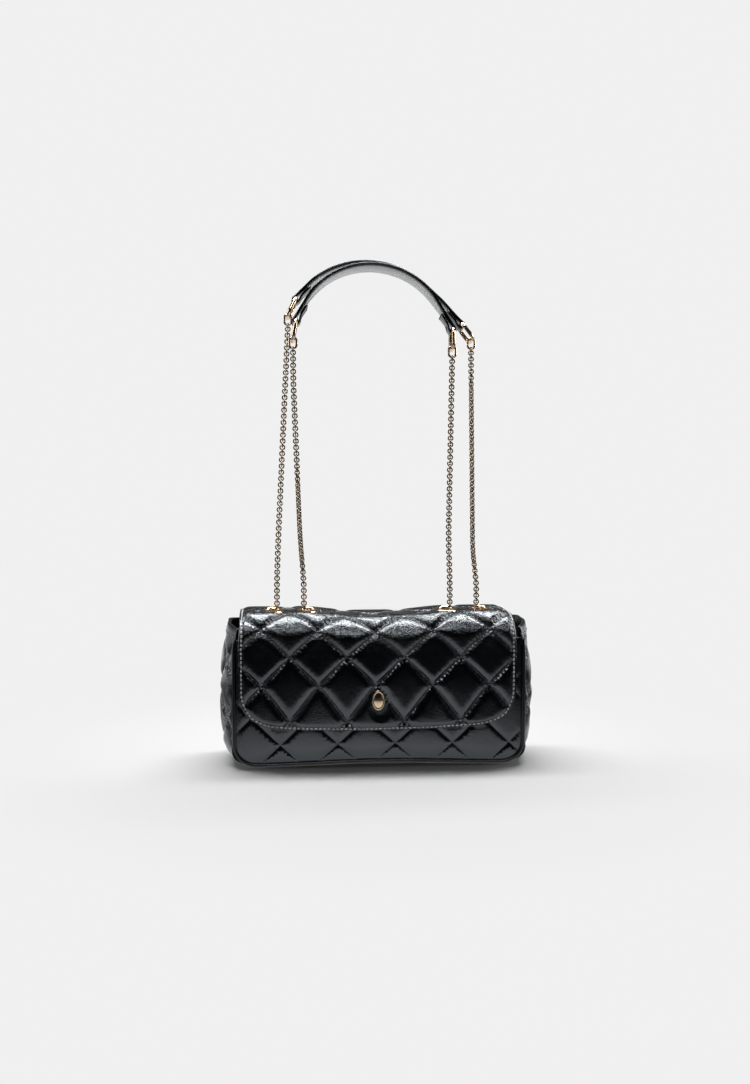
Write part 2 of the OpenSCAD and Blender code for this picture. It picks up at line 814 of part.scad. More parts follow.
module snap_socket_plate() {
    color([0.8, 0.66, 0.45])
        translate([0, front_y + panel_t, snap_z])
            rotate([-90, 0, 0])
                cylinder(d = snap_d, h = snap_plate_t);
}

module snap_stud() {
    stud_reach = flap_room - seam_proud + panel_t / 2;
    color([0.8, 0.66, 0.45])
        translate([0, flap_inner_y, snap_z])
            rotate([-90, 0, 0]) {
                cylinder(d = snap_d, h = snap_plate_t);
                cylinder(d = boss_d, h = snap_plate_t + stud_reach + seam_proud);
            }
}

// Flap: the top carries the eyelets, the front hangs from its fold
module flap_top_sheet(depth, t) {
    r = back_roll_r - depth;
    top = bag_h - depth;
    back = back_y - depth;
    translate([fold_y + SHEET_GAP, top - t])
        square([back_y - back_roll_r - fold_y - SHEET_GAP, t]);
    translate([back - t, hinge_z + SHEET_GAP])
        square([t, bag_h - back_roll_r - hinge_z - SHEET_GAP]);
    translate([back_y - back_roll_r, bag_h - back_roll_r])
        intersection() {
            difference() {
                circle(r);
                circle(r - t);
            }
            square(r);
        }
}

module across(half) {
    translate([-half, 0, 0])
        rotate([90, 0, 90])
            linear_extrude(2 * half)
                children();
}

module at_eyelets() {
    for (x = [-outer_eyelet_x, -inner_eyelet_x, inner_eyelet_x, outer_eyelet_x])
        translate([x, eyelet_y, bag_h])
            children();
}

module eyelet_holes() {
    at_eyelets()
        translate([0, 0, -bag_h / 2])
            cylinder(d = eyelet_hole_d + 2 * (barrel_t + FIT), h = bag_h);
}

module eyelet_seats() {
    at_eyelets()
        translate([0, 0, -flap_t])
            cylinder(d = eyelet_d + plain_edge, h = 2 * flap_t);
}

module flap_top() {
    color([0.03, 0.035, 0.04])
        difference() {
            across(flap_w / 2)
                flap_top_sheet(0, flap_t);
            difference() {
                intersection() {
                    grooves("flap", flap_cross_x, flap_cross_up, flap_w / 2, flap_top_knots,
                        flap_t * groove_share, 0);
                    translate([-flap_w / 2 + plain_edge, -bag_d, 0])
                        cube([flap_w - 2 * plain_edge, 2 * bag_d, 2 * bag_h]);
                }
                eyelet_seats();
            }
            eyelet_holes();
        }
}

module flap_top_lining() {
    color([0.5, 0.45, 0.4])
        difference() {
            across(flap_w / 2 - seam_w)
                flap_top_sheet(flap_t, flap_lining_t);
            eyelet_holes();
        }
}

module eyelet_strip() {
    color([0.45, 0.36, 0.26])
        difference() {
            translate([-outer_eyelet_x - eyelet_d, eyelet_y - strip_d / 2, top_under_z - strip_t])
                cube([2 * (outer_eyelet_x + eyelet_d), strip_d, strip_t]);
            eyelet_holes();
        }
}

module eyelets() {
    reach = flap_t + flap_lining_t + strip_t;
    color([0.86, 0.7, 0.5])
        at_eyelets()
            difference() {
                union() {
                    translate([0, 0, -reach - flange_t])
                        cylinder(d = eyelet_hole_d + 2 * barrel_t, h = reach + 2 * flange_t);
                    rotate_extrude()
                        intersection() {
                            translate([(eyelet_hole_d / 2 + eyelet_d / 2) / 2, 0])
                                circle(d = (eyelet_d - eyelet_hole_d) / 2);
                            translate([eyelet_hole_d / 2, 0])
                                square([(eyelet_d - eyelet_hole_d) / 2, flange_t]);
                        }
                }
                translate([0, 0, -bag_h / 2])
                    cylinder(d = eyelet_hole_d, h = bag_h);
            }
}

module eyelet_washers() {
    reach = flap_t + flap_lining_t + strip_t;
    color([0.8, 0.66, 0.45])
        at_eyelets()
            translate([0, 0, -reach - flange_t / 2])
                difference() {
                    cylinder(d = eyelet_d - flange_t, h = flange_t / 2);
                    translate([0, 0, -OVER])
                        cylinder(d = eyelet_hole_d + 2 * (barrel_t + FIT), h = flange_t + 2 * OVER);
                }
}

module left_chain_run() {
    color([0.86, 0.7, 0.5])
        rings(run_points(-inner_chain_x, -1), 0, run_count, no_twist_shares);
}

module right_chain_run() {
    color([0.86, 0.7, 0.5])
        rings(run_points(inner_chain_x, 1), 0, run_count, no_twist_shares);
}

module flap_front_sheet(depth, t, low) {
    r = front_roll_r - depth;
    mid_z = bag_h - front_roll_r;
    translate([face_y + depth, low])
        square([t, mid_z - low]);
    translate([fold_y, mid_z])
        intersection() {
            difference() {
                circle(r);
                circle(r - t);
            }
            translate([-r, 0])
                square(r);
        }
}

module flap_outline(inset) {
    half = flap_w / 2 - inset;
    r = flap_corner_r - inset;
    low = flap_low + inset;
    translate([-half, low + r])
        square([2 * half, bag_h]);
    translate([-half + r, low])
        square([2 * (half - r), bag_h]);
    for (side = [-1, 1])
        translate([side * (half - r), low + r])
            circle(r);
}

module flap_leaf(inset) {
    intersection() {
        across(flap_w / 2)
            children();
        upright(-bag_d, 2 * bag_d)
            flap_outline(inset);
    }
}

// The pillows' level over the leather, which runs out before the fold
module pillow_sheet() {
    difference() {
        flap_front_sheet(-pillow_h, pillow_h + flap_t / 2, 0);
        polygon([
            [fold_y, bag_h], [fold_y - crease_w, bag_h + pillow_h],
            [fold_y - crease_w, bag_h + 2 * pillow_h], [fold_y + OVER, bag_h + 2 * pillow_h],
            [fold_y + OVER, bag_h]]);
    }
}

module stud_seat(y, t) {
    translate([0, 0, snap_z])
        upright(y, t)
            oval(stud_w + stud_t, stud_h + stud_t);
}

module flap_front() {
    color([0.03, 0.035, 0.04])
        difference() {
            union() {
                flap_leaf(0)
                    flap_front_sheet(0, flap_t, 0);
                flap_leaf(plain_edge)
                    pillow_sheet();
            }
            difference() {
                intersection() {
                    grooves("flap", flap_cross_x, flap_cross_up, flap_w / 2, flap_front_knots,
                        flap_t * groove_share, pillow_h);
                    upright(-bag_d, 2 * bag_d)
                        flap_outline(plain_edge);
                }
                stud_seat(face_y - bag_d, 2 * bag_d);
            }
            stud_seat(face_y - pillow_h - OVER, pillow_h + OVER);
            translate([0, face_y + flap_t - snap_plate_t, snap_z])
                rotate([-90, 0, 0])
                    cylinder(d = snap_d + 2 * FIT, h = flap_t);
            translate([0, -OVER, snap_z])
                prongs(prong_d + 2 * FIT, flap_t + 2 * OVER);
        }
}

module flap_front_lining() {
    color([0.5, 0.45, 0.4])
        flap_leaf(seam_w)
            flap_front_sheet(flap_t, flap_lining_t, 0);
}

module snap_stud_plate() {
    color([0.8, 0.66, 0.45])
        translate([0, face_y + flap_t - snap_plate_t, snap_z])
            rotate([-90, 0, 0])
                cylinder(d = snap_d, h = snap_plate_t);
}

module oval(w, h) {
    half = (h - w) / 2;
    for (s = [-1, 1])
        translate([0, s * half])
            circle(w / 2);
    translate([-w / 2, -half])
        square([w, 2 * half]);
}

module flap_stud() {
    color([0.86, 0.7, 0.5])
        translate([0, 0, snap_z]) {
            upright(face_y - stud_t / 2, stud_t / 2)
                oval(stud_w, stud_h);
            upright(face_y - stud_t, stud_t / 2)
                oval(stud_w - stud_t, stud_h - stud_t);
            prongs(prong_d, flap_t - snap_plate_t);
        }
}

module prongs(d, reach) {
    for (s = [-1, 1])
        translate([0, face_y, s * (stud_h - stud_w) / 2])
            rotate([-90, 0, 0])
                cylinder(d = d, h = reach);
}

// Strap
module outer_bend_links_low() {
    color([0.86, 0.7, 0.5])
        bend_links(1, outer_left_points, outer_right_points);
}

module outer_bend_links_high() {
    color([0.86, 0.7, 0.5])
        bend_links(3, outer_left_points, outer_right_points);
}

module inner_bend_links_low() {
    color([0.86, 0.7, 0.5])
        bend_links(1, inner_left_points, inner_right_points);
}

module inner_bend_links_high() {
    color([0.86, 0.7, 0.5])
        bend_links(3, inner_left_points, inner_right_points);
}

module outer_left_chain() {
    color([0.86, 0.7, 0.5])
        strand(outer_left_points, no_twist_shares);
}

module outer_right_chain() {
    color([0.86, 0.7, 0.5])
        strand(outer_right_points, outer_right_twist_shares);
}

module inner_left_chain() {
    color([0.86, 0.7, 0.5])
        strand(inner_left_points, inner_left_twist_shares);
}

module inner_right_chain() {
    color([0.86, 0.7, 0.5])
        strand(inner_right_points, no_twist_shares);
}

module outer_oval_links() {
    color([0.86, 0.7, 0.5]) {
        oval_link(outer_left_joint);
        oval_link(outer_right_joint);
    }
}

module inner_oval_links() {
    color([0.86, 0.7, 0.5]) {
        oval_link(inner_left_joint);
        oval_link(inner_right_joint);
    }
}

outer_joints = [outer_left_joint, outer_right_joint];
inner_joints = [inner_left_joint, inner_right_joint];

module outer_pad() {
    color([0.03, 0.035, 0.04])
        pad_solid(outer_joints, outer_ring_tilts, outer_arch_r, outer_arch_angles, loop_y, "leather");
}

module outer_pad_lining() {
    color([0.2, 0.2, 0.21])
        pad_solid(outer_joints, outer_ring_tilts, outer_arch_r, outer_arch_angles, loop_y, "lining");
}

module inner_pad() {
    color([0.03, 0.035, 0.04])
        pad_solid(inner_joints, inner_ring_tilts, inner_arch_r, inner_arch_angles, -loop_y, "leather");
}

module inner_pad_lining() {
    color([0.2, 0.2, 0.21])
        pad_solid(inner_joints, inner_ring_tilts, inner_arch_r, inner_arch_angles, -loop_y, "lining");
}

module outer_pad_rings() {
    color([0.86, 0.7, 0.5])
        leaned(outer_joints)
            for (i = [0, 1])
                pad_ring(outer_joints[i], outer_ring_tilts[i]);
}

module inner_pad_rings() {
    color([0.86, 0.7, 0.5])
        leaned(inner_joints)
            for (i = [0, 1])
                pad_ring(inner_joints[i], inner_ring_tilts[i]);
}

front_panel();
back_panel();
left_gusset();
right_gusset();
base_panel();
front_seam();
back_seam();
front_wadding();
back_wadding();
base_board();
lining();
slip_pocket();
pocket_binding();
mouth_binding();
snap_socket();
snap_socket_plate();
flap_top();
flap_top_lining();
eyelet_strip();
eyelets();
eyelet_washers();
left_chain_run();
right_chain_run();
flap_front();
flap_front_lining();
snap_stud();
snap_stud_plate();
flap_stud();
outer_bend_links_low();
outer_bend_links_high();
inner_bend_links_low();
inner_bend_links_high();
outer_left_chain();
outer_right_chain();
outer_oval_links();
inner_left_chain();
inner_right_chain();
inner_oval_links();
outer_pad();
outer_pad_lining();
outer_pad_rings();
inner_pad();
inner_pad_lining();
inner_pad_rings();
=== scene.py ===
"""Quilted flap bag on a double chain: leather, stitching, chains and fittings round its solid frame."""

import json
import math
from functools import partialmethod

import bmesh
import bpy
import numpy as np
from mathutils import Matrix, Vector, noise
from mathutils.geometry import delaunay_2d_cdt

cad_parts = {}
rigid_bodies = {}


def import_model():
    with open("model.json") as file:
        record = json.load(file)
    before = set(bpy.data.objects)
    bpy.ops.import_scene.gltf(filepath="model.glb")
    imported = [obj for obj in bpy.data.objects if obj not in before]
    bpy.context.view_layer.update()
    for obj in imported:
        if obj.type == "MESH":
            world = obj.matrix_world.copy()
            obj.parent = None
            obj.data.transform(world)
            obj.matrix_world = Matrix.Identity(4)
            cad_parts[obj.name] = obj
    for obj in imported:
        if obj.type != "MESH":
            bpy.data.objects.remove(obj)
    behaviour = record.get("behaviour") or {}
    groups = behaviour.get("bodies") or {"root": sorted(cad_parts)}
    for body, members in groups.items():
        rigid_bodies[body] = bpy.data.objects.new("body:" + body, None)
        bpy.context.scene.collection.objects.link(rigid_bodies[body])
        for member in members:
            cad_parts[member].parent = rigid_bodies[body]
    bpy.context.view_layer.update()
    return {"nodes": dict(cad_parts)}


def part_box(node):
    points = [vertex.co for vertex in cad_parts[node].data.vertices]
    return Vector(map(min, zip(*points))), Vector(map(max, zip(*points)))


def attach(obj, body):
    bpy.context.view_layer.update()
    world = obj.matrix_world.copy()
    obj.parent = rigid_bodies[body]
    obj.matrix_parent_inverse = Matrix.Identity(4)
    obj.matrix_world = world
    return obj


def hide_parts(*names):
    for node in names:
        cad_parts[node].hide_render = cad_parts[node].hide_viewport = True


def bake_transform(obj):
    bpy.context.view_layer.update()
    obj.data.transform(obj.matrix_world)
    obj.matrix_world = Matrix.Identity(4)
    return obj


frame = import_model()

bl_info = {
    "name": "Quilted Chain Bag",
    "version": (1, 0, 0),
    "blender": (4, 5, 0),
    "location": "3D View > Sidebar > Chain Bag",
    "description": "Builds the leather, chains and fittings of a quilted flap bag round its solid frame",
    "category": "Add Mesh",
}

MM = 0.001


def node_box(name):
    """A solid's lowest and highest corners in millimetres."""
    low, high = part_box(name)
    return np.array(low) / MM, np.array(high) / MM


FLAP_LOW, FLAP_HIGH = node_box("flap_front")
_, TOP_HIGH = node_box("flap_top")
_, PANEL_HIGH = node_box("front_panel")
_, BACK_HIGH = node_box("back_panel")
_, BODY_HIGH = node_box("base_panel")
SEAM_LOW, SEAM_HIGH = node_box("front_seam")
GUSSET_LOW, GUSSET_HIGH = node_box("left_gusset")
LINING_LOW, LINING_HIGH = node_box("lining")
POCKET_LOW, POCKET_HIGH = node_box("slip_pocket")
STUD_LOW, STUD_HIGH = node_box("flap_stud")
SOCKET_LOW, SOCKET_HIGH = node_box("snap_socket")
EYELETS_LOW, EYELETS_HIGH = node_box("eyelets")
STRIP_LOW, STRIP_HIGH = node_box("eyelet_strip")

# Radius of the flap's bend over the front edge and over the back edge
FRONT_ROLL = 20.0
BACK_ROLL = 14.0
FACE_Y = FLAP_HIGH[1] - FRONT_ROLL
TOP_Z = TOP_HIGH[2]
FLAP_Z = FLAP_LOW[2]
FLAP_HALF = FLAP_HIGH[0]
BACK_Y = TOP_HIGH[1]
PIPING_PROUD = 0.6
FRONT_FACE = SEAM_LOW[1] + PIPING_PROUD
BACK_FACE = BACK_Y - PIPING_PROUD
EYELET_Y = (EYELETS_LOW[1] + EYELETS_HIGH[1]) / 2
EYELET_XS = (-84.5, -56.5, 56.5, 84.5)


# Small mesh tools


def smooth(t):
    """An even step from 0 to 1."""
    t = np.clip(t, 0.0, 1.0)
    return t * t * (3 - 2 * t)


def columns(*values):
    """The values side by side, one row a point."""
    return np.stack(np.broadcast_arrays(*values), 1)


def arrays(*values):
    return (np.asarray(value, float) for value in values)


def unit(vectors):
    return vectors / np.linalg.norm(vectors, axis=1)[:, None]


def run_lengths(points):
    """How far along a line each of its points is."""
    steps = np.linalg.norm(np.diff(points, axis=0), axis=1)
    return np.concatenate([[0], np.cumsum(steps)])


def at_length(where, lengths, points):
    """The points of a line that are that far along it."""
    return np.stack([np.interp(where, lengths, column) for column in points.T], -1)


def ripple(points, scale, seed=0.0):
    """Smooth noise from -1 to 1 at each point, with bumps about 1/scale apart."""
    offset = Vector((seed * 17.3, seed * 5.1, seed * 11.7))
    return np.array([noise.noise(Vector(p) * scale + offset) for p in points])


def select_nothing():
    for obj in bpy.context.selected_objects:
        obj.select_set(False)


def only(obj):
    select_nothing()
    obj.select_set(True)
    bpy.context.view_layer.objects.active = obj


def apply_modifier(obj, kind, **settings):
    only(obj)
    modifier = obj.modifiers.new(kind.lower(), kind)
    for key, value in settings.items():
        setattr(modifier, key, value)
    bpy.ops.object.modifier_apply(modifier=modifier.name)


def new_object(name, points_mm, faces, smooth_faces=True):
    mesh = bpy.data.meshes.new(name)
    mesh.from_pydata((np.asarray(points_mm) * MM).tolist(), [], [tuple(f) for f in faces])
    mesh.update()
    mesh.polygons.foreach_set("use_smooth", [smooth_faces] * len(mesh.polygons))
    obj = bpy.data.objects.new(name, mesh)
    bpy.context.scene.collection.objects.link(obj)
    return obj


def outward(obj):
    """Joins points that coincide and turns a closed mesh's faces outwards."""
    bm = bmesh.new()
    bm.from_mesh(obj.data)
    bmesh.ops.remove_doubles(bm, verts=bm.verts, dist=1e-7)
    bmesh.ops.recalc_face_normals(bm, faces=bm.faces)
    bm.to_mesh(obj.data)
    bm.free()
    return obj


def flip_if_inward(obj):
    """Turns a closed mesh's faces outwards when its volume comes out negative."""
    bm = bmesh.new()
    bm.from_mesh(obj.data)
    if bm.calc_volume(signed=True) < 0:
        bmesh.ops.reverse_faces(bm, faces=bm.faces)
        bm.to_mesh(obj.data)
    bm.free()


def paint(obj, look_name):
    obj.data.materials.clear()
    obj.data.materials.append(look(look_name))


def finish_piece(obj, body, look_name, *stands_for):
    """Gives a piece its look, its body and the solids it stands for. Blended pieces name no body."""
    paint(obj, look_name)
    if body:
        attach(obj, body)
    if stands_for:
        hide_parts(*stands_for)
    return obj


def quads(rows, count, ring=True):
    """Quads between rows of count points, each row a closed ring unless told otherwise."""
    starts = [i * count for i in range(rows - 1)]
    steps = [(k, (k + 1) % count) for k in range(count if ring else count - 1)]
    return [(i + k, i + l, i + count + l, i + count + k) for i in starts for k, l in steps]


def tube_faces(rows, count):
    """Rings of points closed by a cap at each end."""
    last = (rows - 1) * count
    return quads(rows, count) + [tuple(range(count)), tuple(last + k for k in reversed(range(count)))]


def sweep(points, normals, profile, widths=1.0, thicks=1.0):
    """A tube: the profile (across, up) carried along the points, up being each point's normal."""
    points, normals = arrays(points, normals)
    tangents = unit(np.gradient(points, axis=0))
    across = unit(np.cross(tangents, normals))
    up = np.cross(across, tangents)
    widths, thicks = (np.broadcast_to(size, len(points))[:, None, None] for size in (widths, thicks))
    a, b = np.asarray(profile).T[:, None, :, None]
    verts = points[:, None] + across[:, None] * a * widths + up[:, None] * b * thicks
    return verts.reshape(-1, 3), tube_faces(len(points), len(profile))


def round_profile(radius, sides):
    turns = [2 * math.pi * k / sides for k in range(sides)]
    return [(radius * math.cos(t), radius * math.sin(t)) for t in turns]


def band_profile(width, thick, corner, steps=3):
    """A flat band with rounded edges, as (across, up) points."""
    points = []
    for sx, sy, start in ((1, 1, 0), (-1, 1, 90), (-1, -1, 180), (1, -1, 270)):
        for k in range(steps + 1):
            a = math.radians(start + 90 * k / steps)
            x, y = sx * (width / 2 - corner), sy * (thick / 2 - corner)
            points.append((x + corner * math.cos(a), y + corner * math.sin(a)))
    return points


# Quilting


class Quilt:
    """Stitch lines that cross in diamonds, and the pillows between them."""

    def __init__(self, u0, v0, height=3.2, reach=11.0, pucker=0.3, slump=0.0):
        self.u0, self.v0, self.slump = u0, v0, slump
        self.half_u, self.half_v = 23.0, 23.25
        self.height, self.reach, self.pucker = height, reach, pucker
        self.slant = math.hypot(self.half_u, self.half_v)
        self.spacing = 2 * self.half_u * self.half_v / self.slant

    def lattice(self, u, v):
        """How many stitch lines of each slant lie between a point and the crossing at (u0, v0)."""
        a = (u - self.u0) / self.half_u
        b = (v - self.v0) / self.half_v
        return (a + b) / 2, (a - b) / 2

    def rise(self, u, v):
        """Height of the leather above its stitch lines."""
        p, q = self.lattice(u, v)
        total = np.ones(len(u))
        puckers = np.zeros(len(u))
        for own, other, family in ((p, q, 1.0), (q, p, 2.0)):
            line = np.round(own)
            gap = np.abs(own - line) * self.spacing
            total *= 1 - (1 - np.clip(gap / self.reach, 0, 1)) ** 2.2
            along = other * self.slant * 2
            spots = columns(along * 0.34, gap * 0.07, line * 3.7 + family * 50)
            puckers += ripple(spots, 1.0, family) * np.exp(-gap / 4.5) * np.clip(gap / 0.8, 0, 1)
        dome = np.sqrt(np.abs(np.sin(math.pi * p) * np.sin(math.pi * q)))
        low = 1 - self.slump * ((p - np.floor(p)) - (q - np.floor(q)))
        return self.height * (0.86 * total * low + 0.14 * dome) + self.pucker * puckers * 2.2

    def lines(self, inside, low_u, high_u, low_v, high_v, step, offset=0.0):
        """Points along each stitch line, as runs that stay inside."""
        runs = []
        reach = int((high_u - low_u) / self.half_u + (high_v - low_v) / self.half_v) + 4
        vs = np.arange(low_v, high_v + step, step * self.half_v / self.slant)
        for family in (1, -1):
            for k in range(-reach, reach + 1):
                us = self.u0 + self.half_u * (2 * k - family * (vs - self.v0) / self.half_v)
                us = us + offset * self.slant / self.half_v
                runs += unbroken(zip(us, vs), inside(us, vs))
        return [run for run in runs if len(run) > 1]


def unbroken(points, keep):
    """Splits a row of points into the runs that are kept."""
    runs, run = [], []
    for p, ok in zip(points, keep):
        if ok:
            run.append(p)
        elif run:
            runs.append(run)
            run = []
    return runs + [run] if run else runs


class Outline:
    """A panel with round lower corners. Its depth is the distance in from the edge."""

    def __init__(self, half, low, high, corner):
        self.half, self.low, self.high, self.corner = half, low, high, corner

    def depth(self, u, v):
        side = self.half - np.abs(u)
        bottom = v - self.low
        r = self.corner
        near = (side < r) & (bottom < r)
        rounded = r - np.hypot(r - np.minimum(side, r), r - np.minimum(bottom, r))
        inner = np.where(near, rounded, np.minimum(side, bottom))
        return np.minimum(inner, self.high - v)

    def loop(self, inset, step):
        """The outline drawn in by inset, as a closed run of points."""
        half, low, high = self.half - inset, self.low + inset, self.high - inset
        r = max(self.corner - inset, 0.2)
        points = []

        def straight(a, b):
            count = max(1, int(math.dist(a, b) / step))
            for i in range(count):
                points.append((a[0] + (b[0] - a[0]) * i / count, a[1] + (b[1] - a[1]) * i / count))

        def turn(x, start):
            count = max(6, int(r * math.pi / 2 / step))
            for i in range(count):
                a = start + math.pi / 2 * i / count
                points.append((x + r * math.cos(a), low + r + r * math.sin(a)))

        straight((-half, high), (-half, low + r))
        turn(-half + r, math.pi)
        straight((-half + r, low), (half - r, low))
        turn(half - r, -math.pi / 2)
        straight((half, low + r), (half, high))
        straight((half, high), (-half, high))
        return points

    def open_run(self, step):
        """The outline's side, bottom and side, left open along the top."""
        loop = self.loop(0, step)
        return [p for p in loop if p[1] < self.high - 0.01 or abs(abs(p[0]) - self.half) < 0.01]


# Insets of the rows of points that follow an edge, sizes of the mesh and the least gap between its points
RIMS = (0.25, 0.6, 1.1, 1.8, 2.6, 3.4, 4.6)
HOLE_RIMS = (0.8, 1.8, 3.0, 4.5)
LINE_SIDES = (0.55, -0.55, 1.25, -1.25, 2.3, -2.3, 3.8, -3.8)
CELL = 0.42


def circle(u, v, r, count):
    turns = np.linspace(0, 2 * math.pi, count + 1)[:-1]
    return [(u + r * math.cos(a), v + r * math.sin(a)) for a in turns]


def quilted_mesh(outline, quilt, holes=(), fill=1.9, step=1.05, rims=RIMS):
    """Triangles over an outline, with edges along the stitch lines and round the holes."""
    points, edges = [], []
    taken = set()

    def cell(p):
        return (round(p[0] / CELL), round(p[1] / CELL))

    def add(p):
        points.append(p)
        taken.add(cell(p))
        return len(points) - 1

    def add_loose(p):
        if cell(p) not in taken:
            add(p)

    def add_edges(run, closed=False):
        ids = [add(p) for p in run]
        edges.extend(zip(ids, ids[1:] + ids[:1] if closed else ids[1:]))

    def inside(u, v):
        ok = (outline.depth(u, v) > 0.45) & (v < outline.high - 0.4) & (v > outline.low + 0.4)
        for hu, hv, r in holes:
            ok &= np.hypot(u - hu, v - hv) > r + 0.3
        return ok

    add_edges(outline.loop(0, step), closed=True)
    for hu, hv, r in holes:
        add_edges(circle(hu, hv, r, 32), closed=True)
    box = (-outline.half, outline.half, outline.low, outline.high)
    if quilt:
        for run in quilt.lines(inside, *box, step):
            add_edges(run)
    for inset in rims:
        for p in outline.loop(inset, step):
            if outline.low + 0.3 < p[1] < outline.high - 0.3:
                add_loose(p)
    for hu, hv, r in holes:
        for extra in HOLE_RIMS:
            for p in circle(hu, hv, r + extra, 36):
                add_loose(p)
    if quilt:
        for offset in LINE_SIDES:
            for run in quilt.lines(inside, *box, step * 1.1, offset):
                for p in run:
                    add_loose(p)
    us = np.arange(-outline.half, outline.half, fill)
    vs = np.arange(outline.low, outline.high, fill)
    grid_u, grid_v = (g.ravel() for g in np.meshgrid(us, vs))
    ok = inside(grid_u, grid_v)
    for p in zip(grid_u[ok], grid_v[ok]):
        around = [(p[0] + a, p[1] + b) for a in (-CELL, 0, CELL) for b in (-CELL, 0, CELL)]
        if not any(cell(q) in taken for q in around):
            add(p)
    flat, _, faces, *_ = delaunay_2d_cdt([Vector(p) for p in points], edges, [], 1, 1e-5, False)
    flat = np.array([tuple(p) for p in flat])
    faces = np.array([f for f in faces if len(f) == 3])
    middle = flat[faces].mean(1)
    for hu, hv, r in holes:
        keep = np.hypot(middle[:, 0] - hu, middle[:, 1] - hv) > r
        faces, middle = faces[keep], middle[keep]
    a, b, c = (flat[faces[:, k]] for k in range(3))
    area = (b[:, 0] - a[:, 0]) * (c[:, 1] - a[:, 1]) - (b[:, 1] - a[:, 1]) * (c[:, 0] - a[:, 0])
    faces[area < 0] = faces[area < 0][:, ::-1]
    return flat, faces[np.abs(area) > 1e-6]


def border_edges(faces):
    """Edges that only one face has, in that face's direction."""
    edges = [tuple(edge) for edge in faces[:, [0, 1, 1, 2, 2, 0]].reshape(-1, 2).tolist()]
    known = set(edges)
    return [(a, b) for a, b in edges if (b, a) not in known]


def leather_shell(name, flat, faces, height, place, thick):
    """A closed sheet: the height over its base on top, flat underneath, walls where it is cut."""
    u, v = flat.T
    count = len(flat)
    points = np.concatenate([place(u, v, height), place(u, v, np.full(count, -thick))])
    walls = [(b, a, a + count, b + count) for a, b in border_edges(faces)]
    return new_object(name, points, [*faces] + [f[::-1] + count for f in faces] + walls)


def edge_roll(depth, width=2.3, drop=1.0):
    """Height that rounds a cut edge over, rises to a soft rim, then sinks to the stitch line."""
    rounding = -drop * (1 - np.sqrt(1 - (1 - np.clip(depth / 1.3, 0, 1)) ** 2))
    groove = -0.3 * np.exp(-(((depth - width) / 0.55) ** 2))
    return rounding + groove


# The flap's line, v, runs from its lower edge over the front, the top and the back


V_FOLD = TOP_Z - FRONT_ROLL - FLAP_Z
V_TOP = V_FOLD + FRONT_ROLL * math.pi / 2
FOLD_Y = FACE_Y + FRONT_ROLL
V_REAR = V_TOP + BACK_Y - BACK_ROLL - FOLD_Y
V_BACK = V_REAR + BACK_ROLL * math.pi / 2
V_SPLIT = V_TOP + 34.0
V_TAIL = V_BACK + 13.0
STUD_V = (STUD_LOW[2] + STUD_HIGH[2]) / 2 - FLAP_Z
EYELET_V = V_TOP + EYELET_Y - FOLD_Y

# The flap is a little narrower than its solid and off its middle
FLAP_SHRINK = 0.992
FLAP_SHIFT = -1.5
# How far its top, the middle of its top, its lower edge, its lower rows and its top corners have sunk
SETTLE = 0.8
SAG = 4.0
EDGE_DROOP = 3.0
ROW_DROOP = 5.2
LEAST_DROOP = 1.6
SIDE_DROOP = 1.6
# Where the sag of the top and of its corners sets in, and the lengths over which it does
SAG_START = 84
SAG_SPAN = 40
SIDE_START = 101
SIDE_SPAN = 11
BACK_SPAN = 12
ROW = 23.3
FLAP_QUILT = dict(u0=-2.0, v0=31.5, reach=6.4, pucker=0.2, slump=0.42)
LOW_ROW = FLAP_QUILT["v0"] - ROW
EYELET_US = [(x - FLAP_SHIFT) / FLAP_SHRINK for x in EYELET_XS]
EYELET_TILT = 0.15
GROOVE = -1.7


def top_sag(u):
    """How far the flap's top sinks, most of all between the inner eyelets."""
    return SETTLE + SAG * smooth((66 - np.abs(u)) / 50)


def flap_place(u, v, h):
    """Where the flap's leather lies: u across, v up from its lower edge, h out from the solid's face."""
    u, v, h = arrays(u, v, h)
    a = np.clip((v - V_FOLD) / FRONT_ROLL, 0, math.pi / 2)
    b = np.clip((v - V_REAR) / BACK_ROLL, 0, math.pi / 2)
    top = np.clip(v, V_TOP, V_REAR) - V_TOP
    tail = np.maximum(v - V_BACK, 0)
    y = FOLD_Y - FRONT_ROLL * np.cos(a) + top + BACK_ROLL * np.sin(b)
    z = FLAP_Z + np.minimum(v, V_FOLD) + FRONT_ROLL * np.sin(a) - BACK_ROLL * (1 - np.cos(b)) - tail
    y = y + (np.sin(b) - np.cos(a)) * h
    z = z + np.where(b > 0, np.cos(b), np.sin(a)) * h
    ahead = smooth((V_BACK - v) / BACK_SPAN)
    z = z - top_sag(u) * smooth((z - SAG_START) / SAG_SPAN) * ahead
    bow = EDGE_DROOP * np.maximum(1 - ((u + 6) / 86) ** 2, -0.8)
    z = z - bow * smooth((10 - v) / 10)
    below = LEAST_DROOP + (ROW_DROOP - LEAST_DROOP) * v / LOW_ROW
    slack = np.where(v < LOW_ROW, below, ROW_DROOP * smooth((LOW_ROW + ROW - v) / ROW))
    z = z - slack * (1 - 0.6 * smooth((np.abs(u) - 70) / 35))
    side = smooth((np.abs(u) - SIDE_START) / SIDE_SPAN) * smooth((v - V_FOLD + 12) / 30) * ahead
    z = z - SIDE_DROOP * side**1.5
    x = u * FLAP_SHRINK + FLAP_SHIFT - np.sign(u) * 0.9 * side
    return columns(x, y, z)


def pressed(u, v, spots):
    """From 1 on open leather to 0 at each fitting that presses it down."""
    keep = np.ones(len(u))
    for su, sv, inner, outer in spots:
        keep *= smooth((np.hypot(u - su, v - sv) - inner) / (outer - inner))
    return keep


